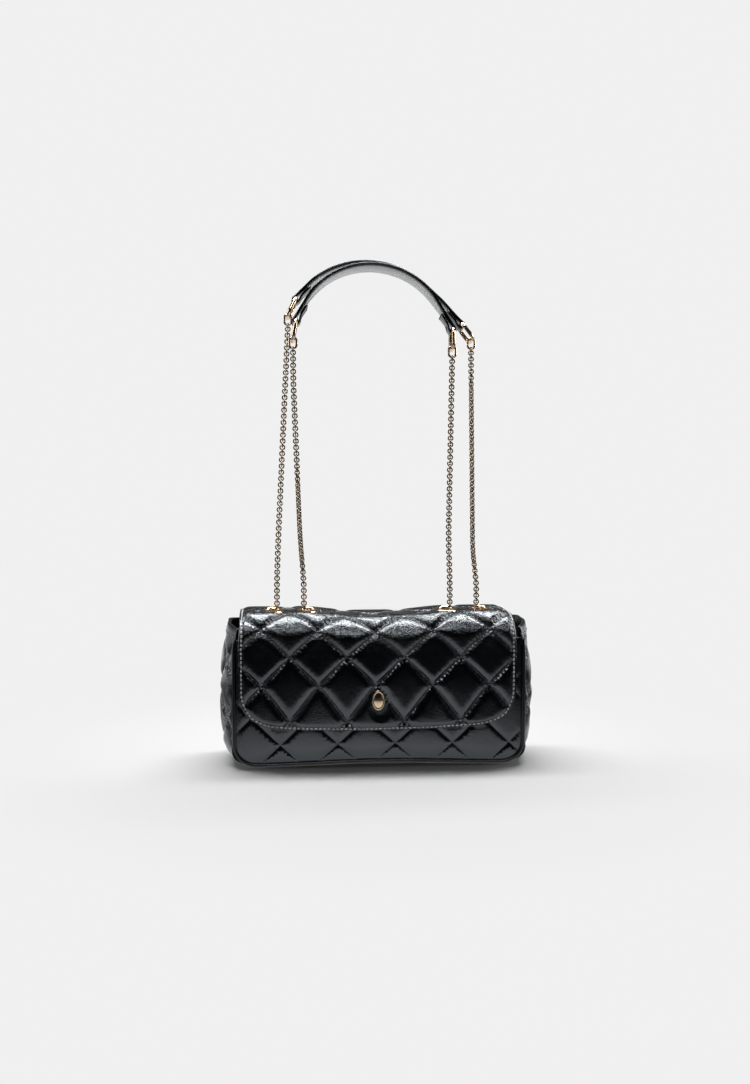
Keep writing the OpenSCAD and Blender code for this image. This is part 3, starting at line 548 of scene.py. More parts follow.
def flap_height(u, v, depth, quilt):
    """How far the flap's leather stands out of the solid's face."""
    over_edge = 1 - 0.45 * smooth((v - V_TOP + 6) / 14)
    on_front = 1 - 0.3 * smooth((v - 36) / 30) * smooth((V_TOP - v) / 30)
    body = GROOVE + quilt.rise(u, v) * (over_edge * on_front)
    uneven = 0.4 * ripple(columns(u, v, 0.0), 0.028, 3.0)
    belly = 0.5 * np.cos(np.clip(u / 116, -1, 1) * math.pi / 2)
    body = body + (uneven + belly) * smooth(depth / 12)
    rim = smooth((depth - 2.0) / 4.0)
    body = -0.35 * (1 - rim) + body * rim
    eyelets = pressed(u, v, [(x, EYELET_V, 9.3, 15.0) for x in EYELET_US])
    body = body * eyelets + (1 - eyelets) * (EYELET_TILT * np.clip(v - EYELET_V, -10, 10) - 0.15)
    u_stud = -FLAP_SHIFT / FLAP_SHRINK
    stud = pressed(u, v, [(u_stud, STUD_V + end, 5.2, 9.0) for end in (-3, 3)])
    body = body * stud - 0.1 * (1 - stud)
    return body + edge_roll(depth)


def stitch_template():
    """One stitch: a short thread with tapered ends, along X."""
    select_nothing()
    bpy.ops.mesh.primitive_uv_sphere_add(segments=6, ring_count=6, radius=0.5)
    obj = bpy.context.object
    bpy.ops.object.mode_set(mode="EDIT")
    bpy.ops.mesh.select_all(action="SELECT")
    bpy.ops.transform.rotate(value=math.pi / 2, orient_axis="Y", center_override=(0, 0, 0))
    bpy.ops.object.mode_set(mode="OBJECT")
    points, faces = taken_apart(obj)
    points[:, 0] = np.sign(points[:, 0]) * 0.5 * np.abs(points[:, 0] * 2) ** 0.5
    return points, sorted(faces)


def taken_apart(obj):
    """A template's points and faces. The object itself is removed."""
    points = np.array([v.co for v in obj.data.vertices])
    faces = [tuple(p.vertices) for p in obj.data.polygons]
    bpy.data.objects.remove(obj)
    return points, faces


STITCH = stitch_template()


def copies(template, frames):
    """The template set at each centre, with its own three axes there."""
    points, faces = template
    verts, all_faces = [], []
    for centre, *axes in frames:
        start = len(verts) * len(points)
        placed = centre
        for k, axis in enumerate(axes):
            placed = placed + np.outer(points[:, k], axis)
        verts.append(placed)
        all_faces.extend(tuple(start + k for k in f) for f in faces)
    return np.concatenate(verts), all_faces


def stitches(name, runs, look_name, body=None, length=1.6, gap=0.55, thread=0.86):
    """Stitches along runs of (points, normals), all in millimetres."""
    points, faces = STITCH
    frames = []
    for line, normals in runs:
        lengths = run_lengths(line)
        count = int(lengths[-1] / (length + gap))
        for i in range(count):
            middle = (i + 0.5) * (lengths[-1] / count)
            start, end = (at_length(middle + way * length / 2, lengths, line) for way in (-1, 1))
            along = end - start
            along = along / np.linalg.norm(along)
            side = np.cross(at_length(middle, lengths, normals), along)
            side /= np.linalg.norm(side)
            frames.append(((start + end) / 2, along, side, np.cross(along, side)))
    stitch = points * (length, thread, thread * 0.8)
    obj = outward(new_object(name, *copies((stitch, faces), frames)))
    return finish_piece(obj, body, look_name)


# The fewest points of a quilting line that is sewn
LEAST_RUN = 4


def placed_runs(runs, place, height, least=1):
    """Flat runs laid on a sheet: their points and the sheet's normals there."""
    out = []
    for run in runs:
        if len(run) < least:
            continue
        u, v = np.asarray(run, float).T
        h = height(u, v)
        at = place(u, v, h)
        out.append((at, unit(place(u, v, h + 1) - at)))
    return out


def stitch_map(obj, p, q):
    """Keeps the quilt's lattice on the mesh, so that the leather's puckers follow its stitch lines."""
    mesh = obj.data
    layer = mesh.uv_layers.new(name="quilt")
    corners = np.zeros(len(mesh.loops), int)
    mesh.loops.foreach_get("vertex_index", corners)
    both = np.tile(columns(p, q), (2, 1))
    layer.data.foreach_set("uv", both[corners].ravel())


def split_sheet(name, flat, faces, height, thick, quilt=None):
    """The flap's sheet as two closed pieces that meet at V_SPLIT, with the shading of the whole sheet."""
    u, v = flat.T
    top = flap_place(u, v, height)
    normals = np.zeros_like(top)
    cross = np.cross(top[faces[:, 1]] - top[faces[:, 0]], top[faces[:, 2]] - top[faces[:, 0]])
    for k in range(3):
        np.add.at(normals, faces[:, k], cross)
    normals /= np.linalg.norm(normals, axis=1)[:, None] + 1e-12
    thick = np.broadcast_to(thick, len(flat))
    rear = v[faces].mean(1) >= V_SPLIT
    out = []
    for end, keep in (("", ~rear), ("_rear", rear)):
        used = np.unique(faces[keep])
        part = np.searchsorted(used, faces[keep])
        obj = leather_shell(name + end, flat[used], part, height[used], flap_place, thick[used])
        own = np.array([n.vector for n in obj.data.vertex_normals])
        own[: len(used)] = normals[used]
        obj.data.normals_split_custom_set_from_vertices(own.tolist())
        if quilt:
            stitch_map(obj, *quilt.lattice(u[used], v[used]))
        out.append(obj)
    return out


# Looks


class Shading:
    """One node tree. A value given for an input is linked when it is a socket and set when it isn't."""

    def __init__(self, tree):
        self.tree = tree

    def fill(self, made, inputs):
        for key, value in inputs.items():
            if isinstance(value, bpy.types.NodeSocket):
                self.tree.links.new(value, made.inputs[key])
            else:
                made.inputs[key].default_value = value

    def add(self, kind, inputs=None, **settings):
        made = self.tree.nodes.new("ShaderNode" + kind)
        for key, value in settings.items():
            setattr(made, key, value)
        self.fill(made, inputs or {})
        return made.outputs

    def math(self, operation, *values, clamp=False):
        return self.add("Math", dict(enumerate(values)), operation=operation, use_clamp=clamp)[0]

    plus = partialmethod(math, "ADD")
    minus = partialmethod(math, "SUBTRACT")
    times = partialmethod(math, "MULTIPLY")
    scaled = partialmethod(math, "MULTIPLY_ADD")

    def noise(self, vector, scale, detail=2.0, **more):
        return self.add("TexNoise", {"Vector": vector, "Scale": scale, "Detail": detail, **more})

    def axes(self, vector):
        return self.add("SeparateXYZ", {0: vector})

    def ramp(self, value, start, stop):
        inputs = {"From Min": start, "From Max": stop, "Value": value}
        return self.add("MapRange", inputs, interpolation_type="SMOOTHSTEP")["Result"]

    def blend(self, factor, a, b):
        return self.add("Mix", {"Factor": factor, "A": a, "B": b}, data_type="RGBA")["Result"]

    def bump(self, height, strength, distance):
        inputs = {"Height": height, "Strength": strength, "Distance": distance}
        return self.add("Bump", inputs)["Normal"]

    def mix(self, factor, a, b):
        return self.add("MixShader", {"Fac": factor, 1: a, 2: b})["Shader"]

    def group(self, make, inputs):
        if make not in GROUPS:
            GROUPS[make] = make()
        made = self.tree.nodes.new("ShaderNodeGroup")
        made.node_tree = GROUPS[make]
        self.fill(made, inputs)
        return made.outputs


GROUPS = {}
LOOKS = {}


def opaque(colour, share=1.0):
    return (*(c * share for c in colour), 1)


def new_group(name, vector, numbers, outs):
    """An effect that puts out numbers only: its tree, its inputs and its end."""
    tree = bpy.data.node_groups.new(name, "ShaderNodeTree")
    tree.interface.new_socket(name=vector, in_out="INPUT", socket_type="NodeSocketVector")
    for title, default in numbers.items():
        socket = tree.interface.new_socket(name=title, in_out="INPUT", socket_type="NodeSocketFloat")
        socket.default_value = default
    for title in outs:
        tree.interface.new_socket(name=title, in_out="OUTPUT", socket_type="NodeSocketFloat")
    return Shading(tree), tree.nodes.new("NodeGroupInput").outputs, tree.nodes.new("NodeGroupOutput")


def grain_group():
    """Crackled, creased leather grain: its height in millimetres, its creases and its rougher patches."""
    numbers = {"Cell": 560.0, "Crease": 210.0, "Crackle": 0.5}
    shade, start, end = new_group("Crackled grain", "Vector", numbers, ("Height", "Creases", "Patches"))
    vector = start["Vector"]
    warp = shade.noise(vector, 330.0)["Color"]
    shift = shade.add("VectorMath", {0: warp, 1: (0.0016,) * 3, 2: vector}, operation="MULTIPLY_ADD")[0]
    cells = shade.add("TexVoronoi", {"Vector": shift, "Scale": start["Cell"]}, feature="DISTANCE_TO_EDGE")
    cracks = shade.math("POWER", shade.times(cells["Distance"], 3.0, clamp=True), 0.5)
    folds = shade.noise(vector, start["Crease"], 3.0, Roughness=0.55, Distortion=0.5)[0]
    ridge = shade.math("ABSOLUTE", shade.minus(folds, 0.5))
    ridge = shade.times(ridge, 7.0, clamp=True)
    patches = shade.scaled(shade.noise(vector, 34.0)[0], 2.6, -0.75, clamp=True)
    bend = shade.scaled(shade.axes(vector)["Z"], 18.0, -1.45, clamp=True)
    weight = shade.scaled(patches, 0.35, shade.times(bend, 0.65))
    weight = shade.times(shade.plus(weight, 0.1), start["Crackle"])
    fine = shade.times(cracks, weight)
    folded = shade.times(ridge, shade.scaled(weight, 0.4, 0.05))
    height = shade.times(shade.plus(fine, folded), 0.14)
    creases = shade.minus(1.0, cracks)
    shade.fill(end, {"Height": height, "Creases": creases, "Patches": patches})
    return shade.tree


def pucker_group():
    """The pull of the quilting stitches: dents at their ends and short ridges that fan out between."""
    numbers = {"Spacing": 32.7, "Stitches": 10.0, "Depth": 0.2}
    shade, start, end = new_group("Stitch puckers", "Lattice", numbers, ("Height", "Seam"))
    lattice = shade.axes(start["Lattice"])
    heights, seams = [], []
    for own, other in ("XY", "YX"):
        wrapped = shade.math("FRACT", shade.plus(lattice[own], 0.5))
        gap = shade.math("ABSOLUTE", shade.minus(wrapped, 0.5))
        gap = shade.times(gap, start["Spacing"])
        turns = shade.times(lattice[other], start["Stitches"])
        sway = shade.noise(start["Lattice"], 3.0, 1.0)[0]
        turns = shade.plus(turns, shade.times(sway, 1.2))
        wave = shade.math("COSINE", shade.times(turns, 2 * math.pi))
        fades = [shade.times(gap, fade) for fade in (-0.62, -2.2, -1.4)]
        fan, dip, seam = (shade.math("EXPONENT", fade) for fade in fades)
        waves = shade.times(wave, fan)
        heights.append(shade.times(waves, shade.minus(1.0, dip)))
        seams.append(seam)
    height = shade.times(shade.plus(*heights), start["Depth"])
    shade.fill(end, {"Height": height, "Seam": shade.math("MAXIMUM", *seams)})
    return shade.tree


def new_material(name):
    """A material, its shading, its shader and the place on the object."""
    material = bpy.data.materials.new(name)
    material.use_nodes = True
    shade = Shading(material.node_tree)
    where = shade.add("TexCoord")["Object"]
    return material, shade, material.node_tree.nodes["Principled BSDF"], where


def leather(
    name, colour, roughness=0.07, shine=1.0, cell=780.0, crease=210.0, crackle=1.0, coat=0.3, stitched=0.0
):
    """Glossy leather whose base colour darkens in the grain's creases as painted shade. Stitched leather
    also needs the quilt map of its mesh.
    """
    material, shade, shader, where = new_material(name)
    numbers = {"Cell": cell, "Crease": crease, "Crackle": crackle}
    grain = shade.group(grain_group, {"Vector": where, **numbers})
    height = grain["Height"]
    rough = shade.scaled(grain["Patches"], 0.03, roughness)
    rough = shade.scaled(grain["Creases"], 0.03, rough)
    if stitched:
        lattice = shade.add("UVMap", uv_map="quilt")["UV"]
        pucker = shade.group(pucker_group, {"Lattice": lattice, "Depth": stitched})
        height = shade.plus(height, pucker["Height"])
        rough = shade.scaled(pucker["Seam"], 0.06, rough)
    normal = shade.bump(height, 1.0, 0.001)
    finish = {
        # The base colour darkens in the creases: painted shade
        "Base Color": shade.blend(grain["Creases"], opaque(colour), opaque(colour, 0.45)),
        "Roughness": rough,
        "IOR": 1.5,
        "Specular IOR Level": shine,
        "Specular Tint": (0.86, 0.94, 1.0, 1),
        "Coat Weight": coat,
        "Coat Roughness": roughness * 0.5,
        "Normal": normal,
        "Coat Normal": normal,
    }
    shade.fill(shader, finish)
    return material


def metal(name, colour, share=1.0, roughness=0.1, rim=1.0):
    """Plated metal with a faint haze. A rim below 1 darkens the colour where the surface turns away from
    the eye: painted shade, standing in for the dark room reflected at the outlines.
    """
    material, shade, shader, where = new_material(name)
    colour = [c * share for c in colour]
    haze = shade.noise(where, 900.0, 3.0)[0]
    tone = shade.blend(shade.noise(where, 120.0)[0], opaque(colour, 0.86), opaque(colour))
    # Facing mask for the painted shade at the outlines, where the surface turns away from the eye
    turned = shade.ramp(shade.add("LayerWeight", {"Blend": 0.5})["Facing"], 0.15, 0.55)
    finish = {
        "Base Color": shade.blend(turned, tone, opaque(colour, rim)),
        "Roughness": shade.scaled(haze, 0.1, roughness - 0.04),
        "Metallic": 1.0,
        "Normal": shade.bump(haze, 0.05, 0.0002),
    }
    shade.fill(shader, finish)
    return material


def woven(name, colour):
    """Closely woven lining cloth."""
    material, shade, shader, where = new_material(name)
    waves = []
    for axis in "XZ":
        inputs = {"Vector": where, "Scale": 1500.0 / 6.28, "Distortion": 0.4, "Detail Scale": 2.0}
        waves.append(shade.add("TexWave", inputs, wave_type="BANDS", bands_direction=axis)["Fac"])
    weave = shade.math("MAXIMUM", *waves)
    cloud = shade.noise(where, 60.0, 3.0)[0]
    tone = shade.scaled(weave, 0.6, shade.times(cloud, 0.4))
    finish = {
        "Base Color": shade.blend(tone, opaque(colour, 0.7), opaque(colour)),
        "Roughness": shade.scaled(cloud, 0.1, 0.75),
        "Sheen Weight": 0.2,
        "Normal": shade.bump(weave, 0.3, 0.0002),
    }
    shade.fill(shader, finish)
    return material


def fibre(name, colour):
    """Wadding or pressed board, dull and speckled."""
    material, shade, shader, where = new_material(name)
    speck = shade.noise(where, 420.0, 4.0, Roughness=0.7)[0]
    finish = {
        "Base Color": shade.blend(speck, opaque(colour, 0.6), opaque(colour)),
        "Roughness": 0.85,
        "Normal": shade.bump(speck, 0.3, 0.0003),
    }
    shade.fill(shader, finish)
    return material


CREASED = dict(roughness=0.14, crackle=0.7, crease=160.0, stitched=0.3)
ROLLED = dict(roughness=0.3, shine=0.4, crackle=0.5, crease=300.0)
STRAP = dict(roughness=0.1, shine=0.6, coat=0.1, cell=900.0, crease=300.0, crackle=0.1)
# The pads' under leather: its pale grey is partly its own colour and partly painted reflection of the
# pale floor below
UNDERSIDE = dict(colour=(0.7, 0.705, 0.71), roughness=0.22, cell=1200.0, crackle=0.1)
THREAD = dict(roughness=0.2, coat=1.0, cell=2600.0, crease=1800.0)
LEATHERS = {
    "flap leather": dict(name="Black crackled leather", stitched=0.24),
    "panel leather": dict(name="Black smooth leather", roughness=0.09, crackle=0.6, stitched=0.06),
    "side leather": dict(name="Black creased leather", **CREASED),
    "piping leather": dict(name="Black rolled leather", **ROLLED),
    "pad leather": dict(name="Black strap leather", **STRAP),
    "pad lining": dict(name="Pale lining leather", **UNDERSIDE),
    "thread": dict(name="Black thread", colour=(0.03, 0.033, 0.037), crackle=0.3, **THREAD),
    # The edge thread's near-white colour is painted highlight, standing for the glints along the flap's
    # edge
    "edge thread": dict(name="Waxed edge thread", colour=(0.9, 0.905, 0.91), **THREAD),
}
METALS = {
    "gold": dict(name="Pale gold plate"),
    # The chains: the same gold plate made darker overall and at its outlines, as painted shade
    "chain gold": dict(name="Darkened gold plate", share=0.62, rim=0.04),
    "snap": dict(name="Plain plated metal", share=0.8, roughness=0.28),
}
FIBRES = {
    "wadding": dict(name="Soft wadding", colour=(0.7, 0.69, 0.66)),
    "board": dict(name="Pressed board", colour=(0.25, 0.19, 0.12)),
}


def look(name):
    """Each finish is made once, from the panel's colours."""
    colours = bpy.context.scene.bag_colours
    if name in LOOKS:
        return LOOKS[name]
    if name in LEATHERS:
        LOOKS[name] = leather(**{"colour": tuple(colours.leather), **LEATHERS[name]})
    elif name in METALS:
        LOOKS[name] = metal(colour=tuple(colours.metal), **METALS[name])
    elif name in FIBRES:
        LOOKS[name] = fibre(**FIBRES[name])
    else:
        LOOKS[name] = woven("Woven lining cloth", tuple(colours.lining))
    return LOOKS[name]


def repaint(node_name, look_name):
    """Gives a solid that shows as it is its look."""
    obj = frame["nodes"][node_name]
    paint(obj, look_name)
    obj.data.polygons.foreach_set("material_index", [0] * len(obj.data.polygons))


# Flap


def stitch_flap(outline, holes, quilt):
    """The flap's stitches in four pieces: those of the quilting, then of the edge, front and rear."""

    def sheet_height(lift):
        return lambda u, v: flap_height(u, v, outline.depth(u, v), quilt) + lift

    def clear(u, v):
        ok = outline.depth(u, v) > 3.6
        for hu, hv, _ in holes:
            ok &= np.hypot(u - hu, v - hv) > 10.0
        return ok & (np.hypot(u, v - STUD_V) > 9.5)

    edge = outline.loop(2.3, 1.0)
    lattice_runs = quilt.lines(clear, -FLAP_HALF, FLAP_HALF, 0, V_TAIL, 1.0)
    edge_sizes = dict(length=2.4, gap=1.0, thread=1.35)
    threads = []
    for kind, runs, lift, look_name, sizes in (
        ("", lattice_runs, 0.25, "thread", {}),
        # The edge stitches take the near-white thread: painted highlight
        ("edge_", [edge + edge[:1]], 0.45, "edge thread", edge_sizes),
    ):
        for half, rear in (("front", False), ("rear", True)):
            parts = []
            for run in runs:
                parts += unbroken(run, [(p[1] >= V_SPLIT) == rear for p in run])
            laid = placed_runs(parts, flap_place, sheet_height(lift), LEAST_RUN)
            threads.append(stitches("flap_stitches_" + kind + half, laid, look_name, **sizes))
    return threads


def build_flap(sizes):
    quilt = Quilt(height=sizes.pillow_height / MM, **FLAP_QUILT)
    outline = Outline(FLAP_HALF, 0.0, V_TAIL, 28.0)
    holes = [(x, EYELET_V, 6.4) for x in EYELET_US]
    flat, faces = quilted_mesh(outline, quilt, holes)
    u, v = flat.T
    height = flap_height(u, v, outline.depth(u, v), quilt)
    leathers = split_sheet("flap_leather", flat, faces, height, 2.2, quilt)
    finish_piece(leathers[0], None, "flap leather", "flap_front", "flap_top")
    finish_piece(leathers[1], None, "flap leather")
    threads = stitch_flap(outline, holes, quilt)
    outline = Outline(FLAP_HALF - 2.0, 2.0, V_TAIL - 2.0, 26.0)
    flat, faces = quilted_mesh(outline, None, holes, fill=4.0, step=3.0, rims=(1.0, 2.5))
    u, v = flat.T
    rough = 0.25 * ripple(columns(u, v, 0.0), 0.05, 9.0)
    level = -2.75 + rough * smooth(outline.depth(u, v) / 6)
    slack = 3.3 + 1.1 * smooth(1 - np.abs(v - V_FOLD - 28.0) / 14.0)
    linings = split_sheet("flap_lining", flat, faces, level, slack)
    finish_piece(linings[0], None, "cloth", "flap_front_lining", "flap_top_lining")
    finish_piece(linings[1], None, "cloth")
    for obj in (leathers[0], threads[0], threads[2], linings[0]):
        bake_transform(obj)
    for obj in (leathers[1], threads[1], threads[3], linings[1]):
        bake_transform(obj)


# Body


def base_lift(u, v):
    """How far a panel's lower edge stands off the floor: a little at the corners, more in the middle."""
    middle = np.cos(np.clip(np.asarray(u) / 104, -1, 1) * math.pi / 2) ** 2
    return (1.4 + 2.2 * middle) * smooth((34 - np.asarray(v)) / 34)


def build_panel(name, face_y, sign, quilt, top, spots, *stands_for):
    """A front or back panel's leather and stitches, out from its face along -Y or +Y."""
    outline = Outline(PANEL_HIGH[0] + 1.2, 1.0, top, 16.8)
    flat, faces = quilted_mesh(outline, quilt)
    if sign > 0:
        faces = faces[:, ::-1]

    def place(u, v, h):
        u, v, h = arrays(u, v, h)
        across = np.cos(np.clip(u / 120, -1, 1) * math.pi / 2)
        belly = 0.8 * across * smooth(v / 16) * smooth((60 - v) / 40)
        return columns(u, face_y + sign * (h + belly), v + base_lift(u, v))

    def height(u, v):
        depth = outline.depth(u, v)
        rim = smooth((depth - 0.8) / 6)
        body = -1.3 + quilt.rise(u, v) + 0.35 * ripple(columns(u, v, face_y), 0.03, 5.0)
        flat_spot = pressed(u, v, spots)
        body = body * flat_spot - 0.2 * (1 - flat_spot)
        return body * rim - 1.0 * (1 - rim) + edge_roll(depth, 30.0, 1.0)

    def clear(u, v):
        ok = outline.depth(u, v) > 2.2
        for su, sv, inner, _ in spots:
            ok &= np.hypot(u - su, v - sv) > inner + 1
        return ok

    obj = leather_shell(name, flat, faces, height(*flat.T), place, 1.9)
    stitch_map(obj, *quilt.lattice(*flat.T))
    finish_piece(obj, "bag_body", "panel leather", *stands_for)
    runs = quilt.lines(clear, -outline.half, outline.half, 0, top, 1.0)
    laid = placed_runs(runs, place, lambda u, v: height(u, v) + 0.05, LEAST_RUN)
    stitches(name + "_stitches", laid, "thread", "bag_body")


def build_piping(name, y, top, stands_for):
    """The rolled seam round a panel, a little uneven as turned leather is. Its ends taper."""
    radius = 1.55
    outline = Outline(SEAM_HIGH[0] - 1.0, radius, top, 17.2)
    points = np.array([(u, y, v) for u, v in outline.open_run(1.6)])
    points[:, 1] += 0.25 * ripple(points, 0.05, 2.0)
    points[:, 2] += base_lift(points[:, 0], points[:, 2])
    taper = 0.3 + 0.7 * smooth((top + 1.0 - points[:, 2]) / 9.0)
    width = (1 + 0.06 * ripple(points, 0.12, 4.0)) * taper
    build_strip_along(name, points, round_profile(radius, 10), "piping leather", stands_for, width)


def build_strip_along(name, points, profile, look_name, stands_for, size=1.0):
    """A piece of the body swept along a line that faces forwards."""
    forwards = np.tile((0.0, -1.0, 0.0), (len(points), 1))
    obj = outward(new_object(name, *sweep(points, forwards, profile, size, size)))
    finish_piece(obj, "bag_body", look_name, stands_for)


def gusset_path():
    """The line of the sides and base from the left lip down and round to the right lip."""
    middle = GUSSET_HIGH[2] / 2
    top = GUSSET_HIGH[2] + 1.6
    waist, corner, turn = 4.0, 24.0, 1.5
    widest = max(BODY_HIGH[0], -GUSSET_LOW[0])

    def side_x(z):
        return widest - waist * ((z - middle) / middle) ** 2

    def arc(x, z, radius, start, end, count):
        turns = [math.radians(a) for a in np.linspace(start, end, count)]
        return [(x + radius * math.cos(a), z + radius * math.sin(a)) for a in turns]

    lip = side_x(top) - turn
    low_x = side_x(corner)
    right = [(lip - turn - 1.5 * (1 - t), top - turn - 10 * (1 - t)) for t in np.linspace(0, 1, 8)]
    right += arc(lip, top - turn, turn, 165, 0, 10)
    right += [(side_x(z), z) for z in np.arange(top - 3.5, corner, -2.0)]
    right += arc(low_x - corner, corner, corner, 0, -90, 15)
    right += [(x, 0.0) for x in np.arange(low_x - corner - 2.5, 0, -2.5)]
    return np.array([(-x, z) for x, z in right] + right[::-1])


def build_gussets(sizes):
    """Both sides and the base in one length of quilted leather, its sides sunk between the panels."""
    path = gusset_path()
    at = run_lengths(path)
    total = at[-1]
    lip_at = at[np.argmax(path[:, 1])]
    quilt = Quilt(0.0, lip_at + 53.0, height=sizes.pillow_height / MM * 0.8, reach=10.0, pucker=0.42)
    y0, y1 = FRONT_FACE + 1.0, BACK_FACE - 1.4
    mid, half = (y0 + y1) / 2, (y1 - y0) / 2
    outline = Outline(half, 0.0, total, 0.2)
    flat, faces = quilted_mesh(outline, quilt, rims=(0.5, 1.2, 2.4, 4.0))
    tangent = unit(np.gradient(path, axis=0))
    normal = columns(tangent[:, 1], -tangent[:, 0])
    if normal[len(path) // 2][1] > 0:
        normal = -normal

    def place(u, v, h):
        u, v, h = arrays(u, v, h)
        px, pz = at_length(v, at, path).T
        nx, nz = at_length(v, at, normal).T
        on_side = smooth((pz - 2) / 20)
        share = np.abs(u) / half
        bulge = (9.6 * on_side + 1.0 * (1 - on_side)) * share**2.1
        pinch = 2.2 * smooth((pz - 70) / 44) * np.exp(-((u / 13) ** 2))
        lip = smooth((lip_at + 8 - np.minimum(v, total - v)) / 8)
        inwards = bulge + pinch
        x = px + nx * h - inwards * (nx * (1 - lip) + np.sign(px) * lip)
        z = pz + nz * h - inwards * nz * (1 - lip) - 3.0 * share**3 * smooth((pz - 90) / 24)
        z = z + base_lift(px, pz) * smooth((share - 0.55) / 0.45)
        return columns(x, mid + u, np.maximum(z, 0.05))

    def height(u, v):
        pz = np.interp(v, at, path[:, 1])
        soft = smooth((np.minimum(v, total - v) - lip_at - 8) / 8)
        base = smooth((pz - 1) / 18)
        crumple = 1.1 * ripple(columns(u, v * 0.7, 0.0), 0.055, 7.0)
        crumple = crumple + 0.5 * ripple(columns(u, v, 0.0), 0.13, 8.0)
        rise = quilt.rise(u, v) - quilt.height * 0.75
        body = (rise * (0.25 + 0.75 * base) + crumple * base) * soft
        return body * smooth(outline.depth(u, v) / 5) - 0.6 * (1 - base)

    def clear(u, v):
        from_lip = np.minimum(v, total - v) - lip_at
        return (outline.depth(u, v) > 2.0) & (from_lip > 9.5) & (np.interp(v, at, path[:, 1]) > 1.5)

    shell = leather_shell("gussets_and_base", flat, faces, height(*flat.T), place, 1.4)
    stitch_map(shell, *quilt.lattice(*flat.T))
    flip_if_inward(shell)
    finish_piece(shell, "bag_body", "side leather", "left_gusset", "right_gusset", "base_panel")
    runs = quilt.lines(clear, -half, half, 0, total, 1.0)
    laid = placed_runs(runs, place, lambda u, v: height(u, v) + 0.05, LEAST_RUN)
    us = np.arange(-half + 2.5, half - 2.5, 1.0)
    lips = [columns(us, end) for end in (lip_at + 8.0, total - lip_at - 8.0)]
    laid += placed_runs(lips, place, lambda u, v: height(u, v) + 0.15)
    stitches("gusset_stitches", laid, "thread", "bag_body")


# Inside


def build_lining():
    """The lining: a soft open box that hangs from the mouth, with loose vertical folds."""
    x1, y0, y1 = LINING_HIGH[0] - 1.0, LINING_LOW[1] + 0.3, LINING_HIGH[1] - 0.3
    z0, z1 = LINING_LOW[2] + 0.2, LINING_HIGH[2]
    mid, half_y = (y0 + y1) / 2, (y1 - y0) / 2
    levels = np.concatenate([[z0] * 3, np.linspace(z0 + 1, z1, 26)])
    rounding = np.maximum(0, 4.0 - np.linspace(0, z1 - z0, 26) * 0.35) ** 1.2
    insets = np.concatenate([[34.0, 14.0, 5.0], rounding])
    count = 160
    rings = []
    for z, inset in zip(levels, insets):
        a, b = x1 - inset, half_y - inset
        r = max(1.0, min(7.0, b - 0.5))
        loop = []
        for sx, sy, start in ((1, 1, 0), (-1, 1, 90), (-1, -1, 180), (1, -1, 270)):
            for k in range(7):
                t = math.radians(start + 90 * k / 6)
                loop.append((sx * (a - r) + r * math.cos(t), mid + sy * (b - r) + r * math.sin(t), z))
        full = np.array(loop + loop[:1])
        lengths = run_lengths(full)
        rings.append(at_length(np.linspace(0, lengths[-1], count + 1)[:-1], lengths, full))
    for i, ring in enumerate(rings[2:]):
        folds = ripple(ring * (0.05, 0.05, 0.01), 1.0, 6.0)
        pull = 0.9 * folds * smooth((z1 - ring[:, 2]) / 30) * smooth((ring[:, 2] - z0) / 12)
        toward = unit(np.array([0, mid]) - ring[:, :2])
        ring[:, :2] += toward * (0.9 + pull)[:, None] * min(1.0, i / 2)
    faces = [(a, d, c, b) for a, b, c, d in quads(len(rings), count)] + [tuple(range(count))]
    obj = new_object("lining_bag", np.concatenate(rings), faces)
    apply_modifier(obj, "SOLIDIFY", thickness=0.0006, offset=1.0)
    finish_piece(obj, "bag_body", "cloth", "lining")


def build_pocket():
    """A flat pocket on the back lining whose mouth stands a little open."""
    us = np.linspace(POCKET_LOW[0], POCKET_HIGH[0], 40)
    vs = np.linspace(POCKET_LOW[2], POCKET_HIGH[2] + 1, 18)

    def face_y(u, t):
        return POCKET_LOW[1] - 0.4 - 1.6 * (1 - (abs(u) / POCKET_HIGH[0]) ** 4) * t**2

    verts = [(u, face_y(u, (v - vs[0]) / (vs[-1] - vs[0])), v) for v in vs for u in us]
    obj = new_object("pocket_cloth", verts, quads(len(vs), len(us), ring=False))
    apply_modifier(obj, "SOLIDIFY", thickness=0.0008, offset=0.0)
    finish_piece(obj, "bag_body", "cloth", "slip_pocket")
    edge = [(u, face_y(u, 1), POCKET_HIGH[2] + 2.5) for u in us]
    build_strip_along("pocket_edge", edge, band_profile(8.0, 1.8, 0.85), "pad leather", "pocket_binding")


def build_mouth_edge():
    low, high = node_box("mouth_binding")
    xs = np.linspace(low[0], high[0], 60)
    points = columns(xs, low[1] + 0.2, (low[2] + high[2]) / 2)
    points[:, 1] += 0.2 * ripple(points, 0.05, 12.0)
    profile = band_profile(high[2] - low[2] + 0.8, 2.6, 1.2)
    build_strip_along("mouth_edge", points, profile, "pad leather", "mouth_binding")


# Shoulder pads, in a plane of their own that then leans back


PADS = {
    "outer": dict(
        joints=((-71.3, 11.0, 363.5), (78.7, 11.0, 345.0)), tilts=(26, -36), arch=70.0, angles=(42, 44)
    ),
    "inner": dict(
        joints=((-67.7, -11.0, 343.3), (60.3, -11.0, 336.8)), tilts=(10, 0), arch=63.0, angles=(58, 57)
    ),
}
RING_SEAT = 1.8
BAR_GAP = 14.8
LOOP_R = 3.4
PAD_LEAN = 12.0
PAD_WIDTH = 20.0
TAB_WIDTH = 9.6
TAB_LENGTH = 15.0
PAD_THICK = 1.9
UNDER_THICK = 1.3
# The soft round edge that a strip's profile has while it is drawn one unit wide
NARROW_CORNER = 0.49


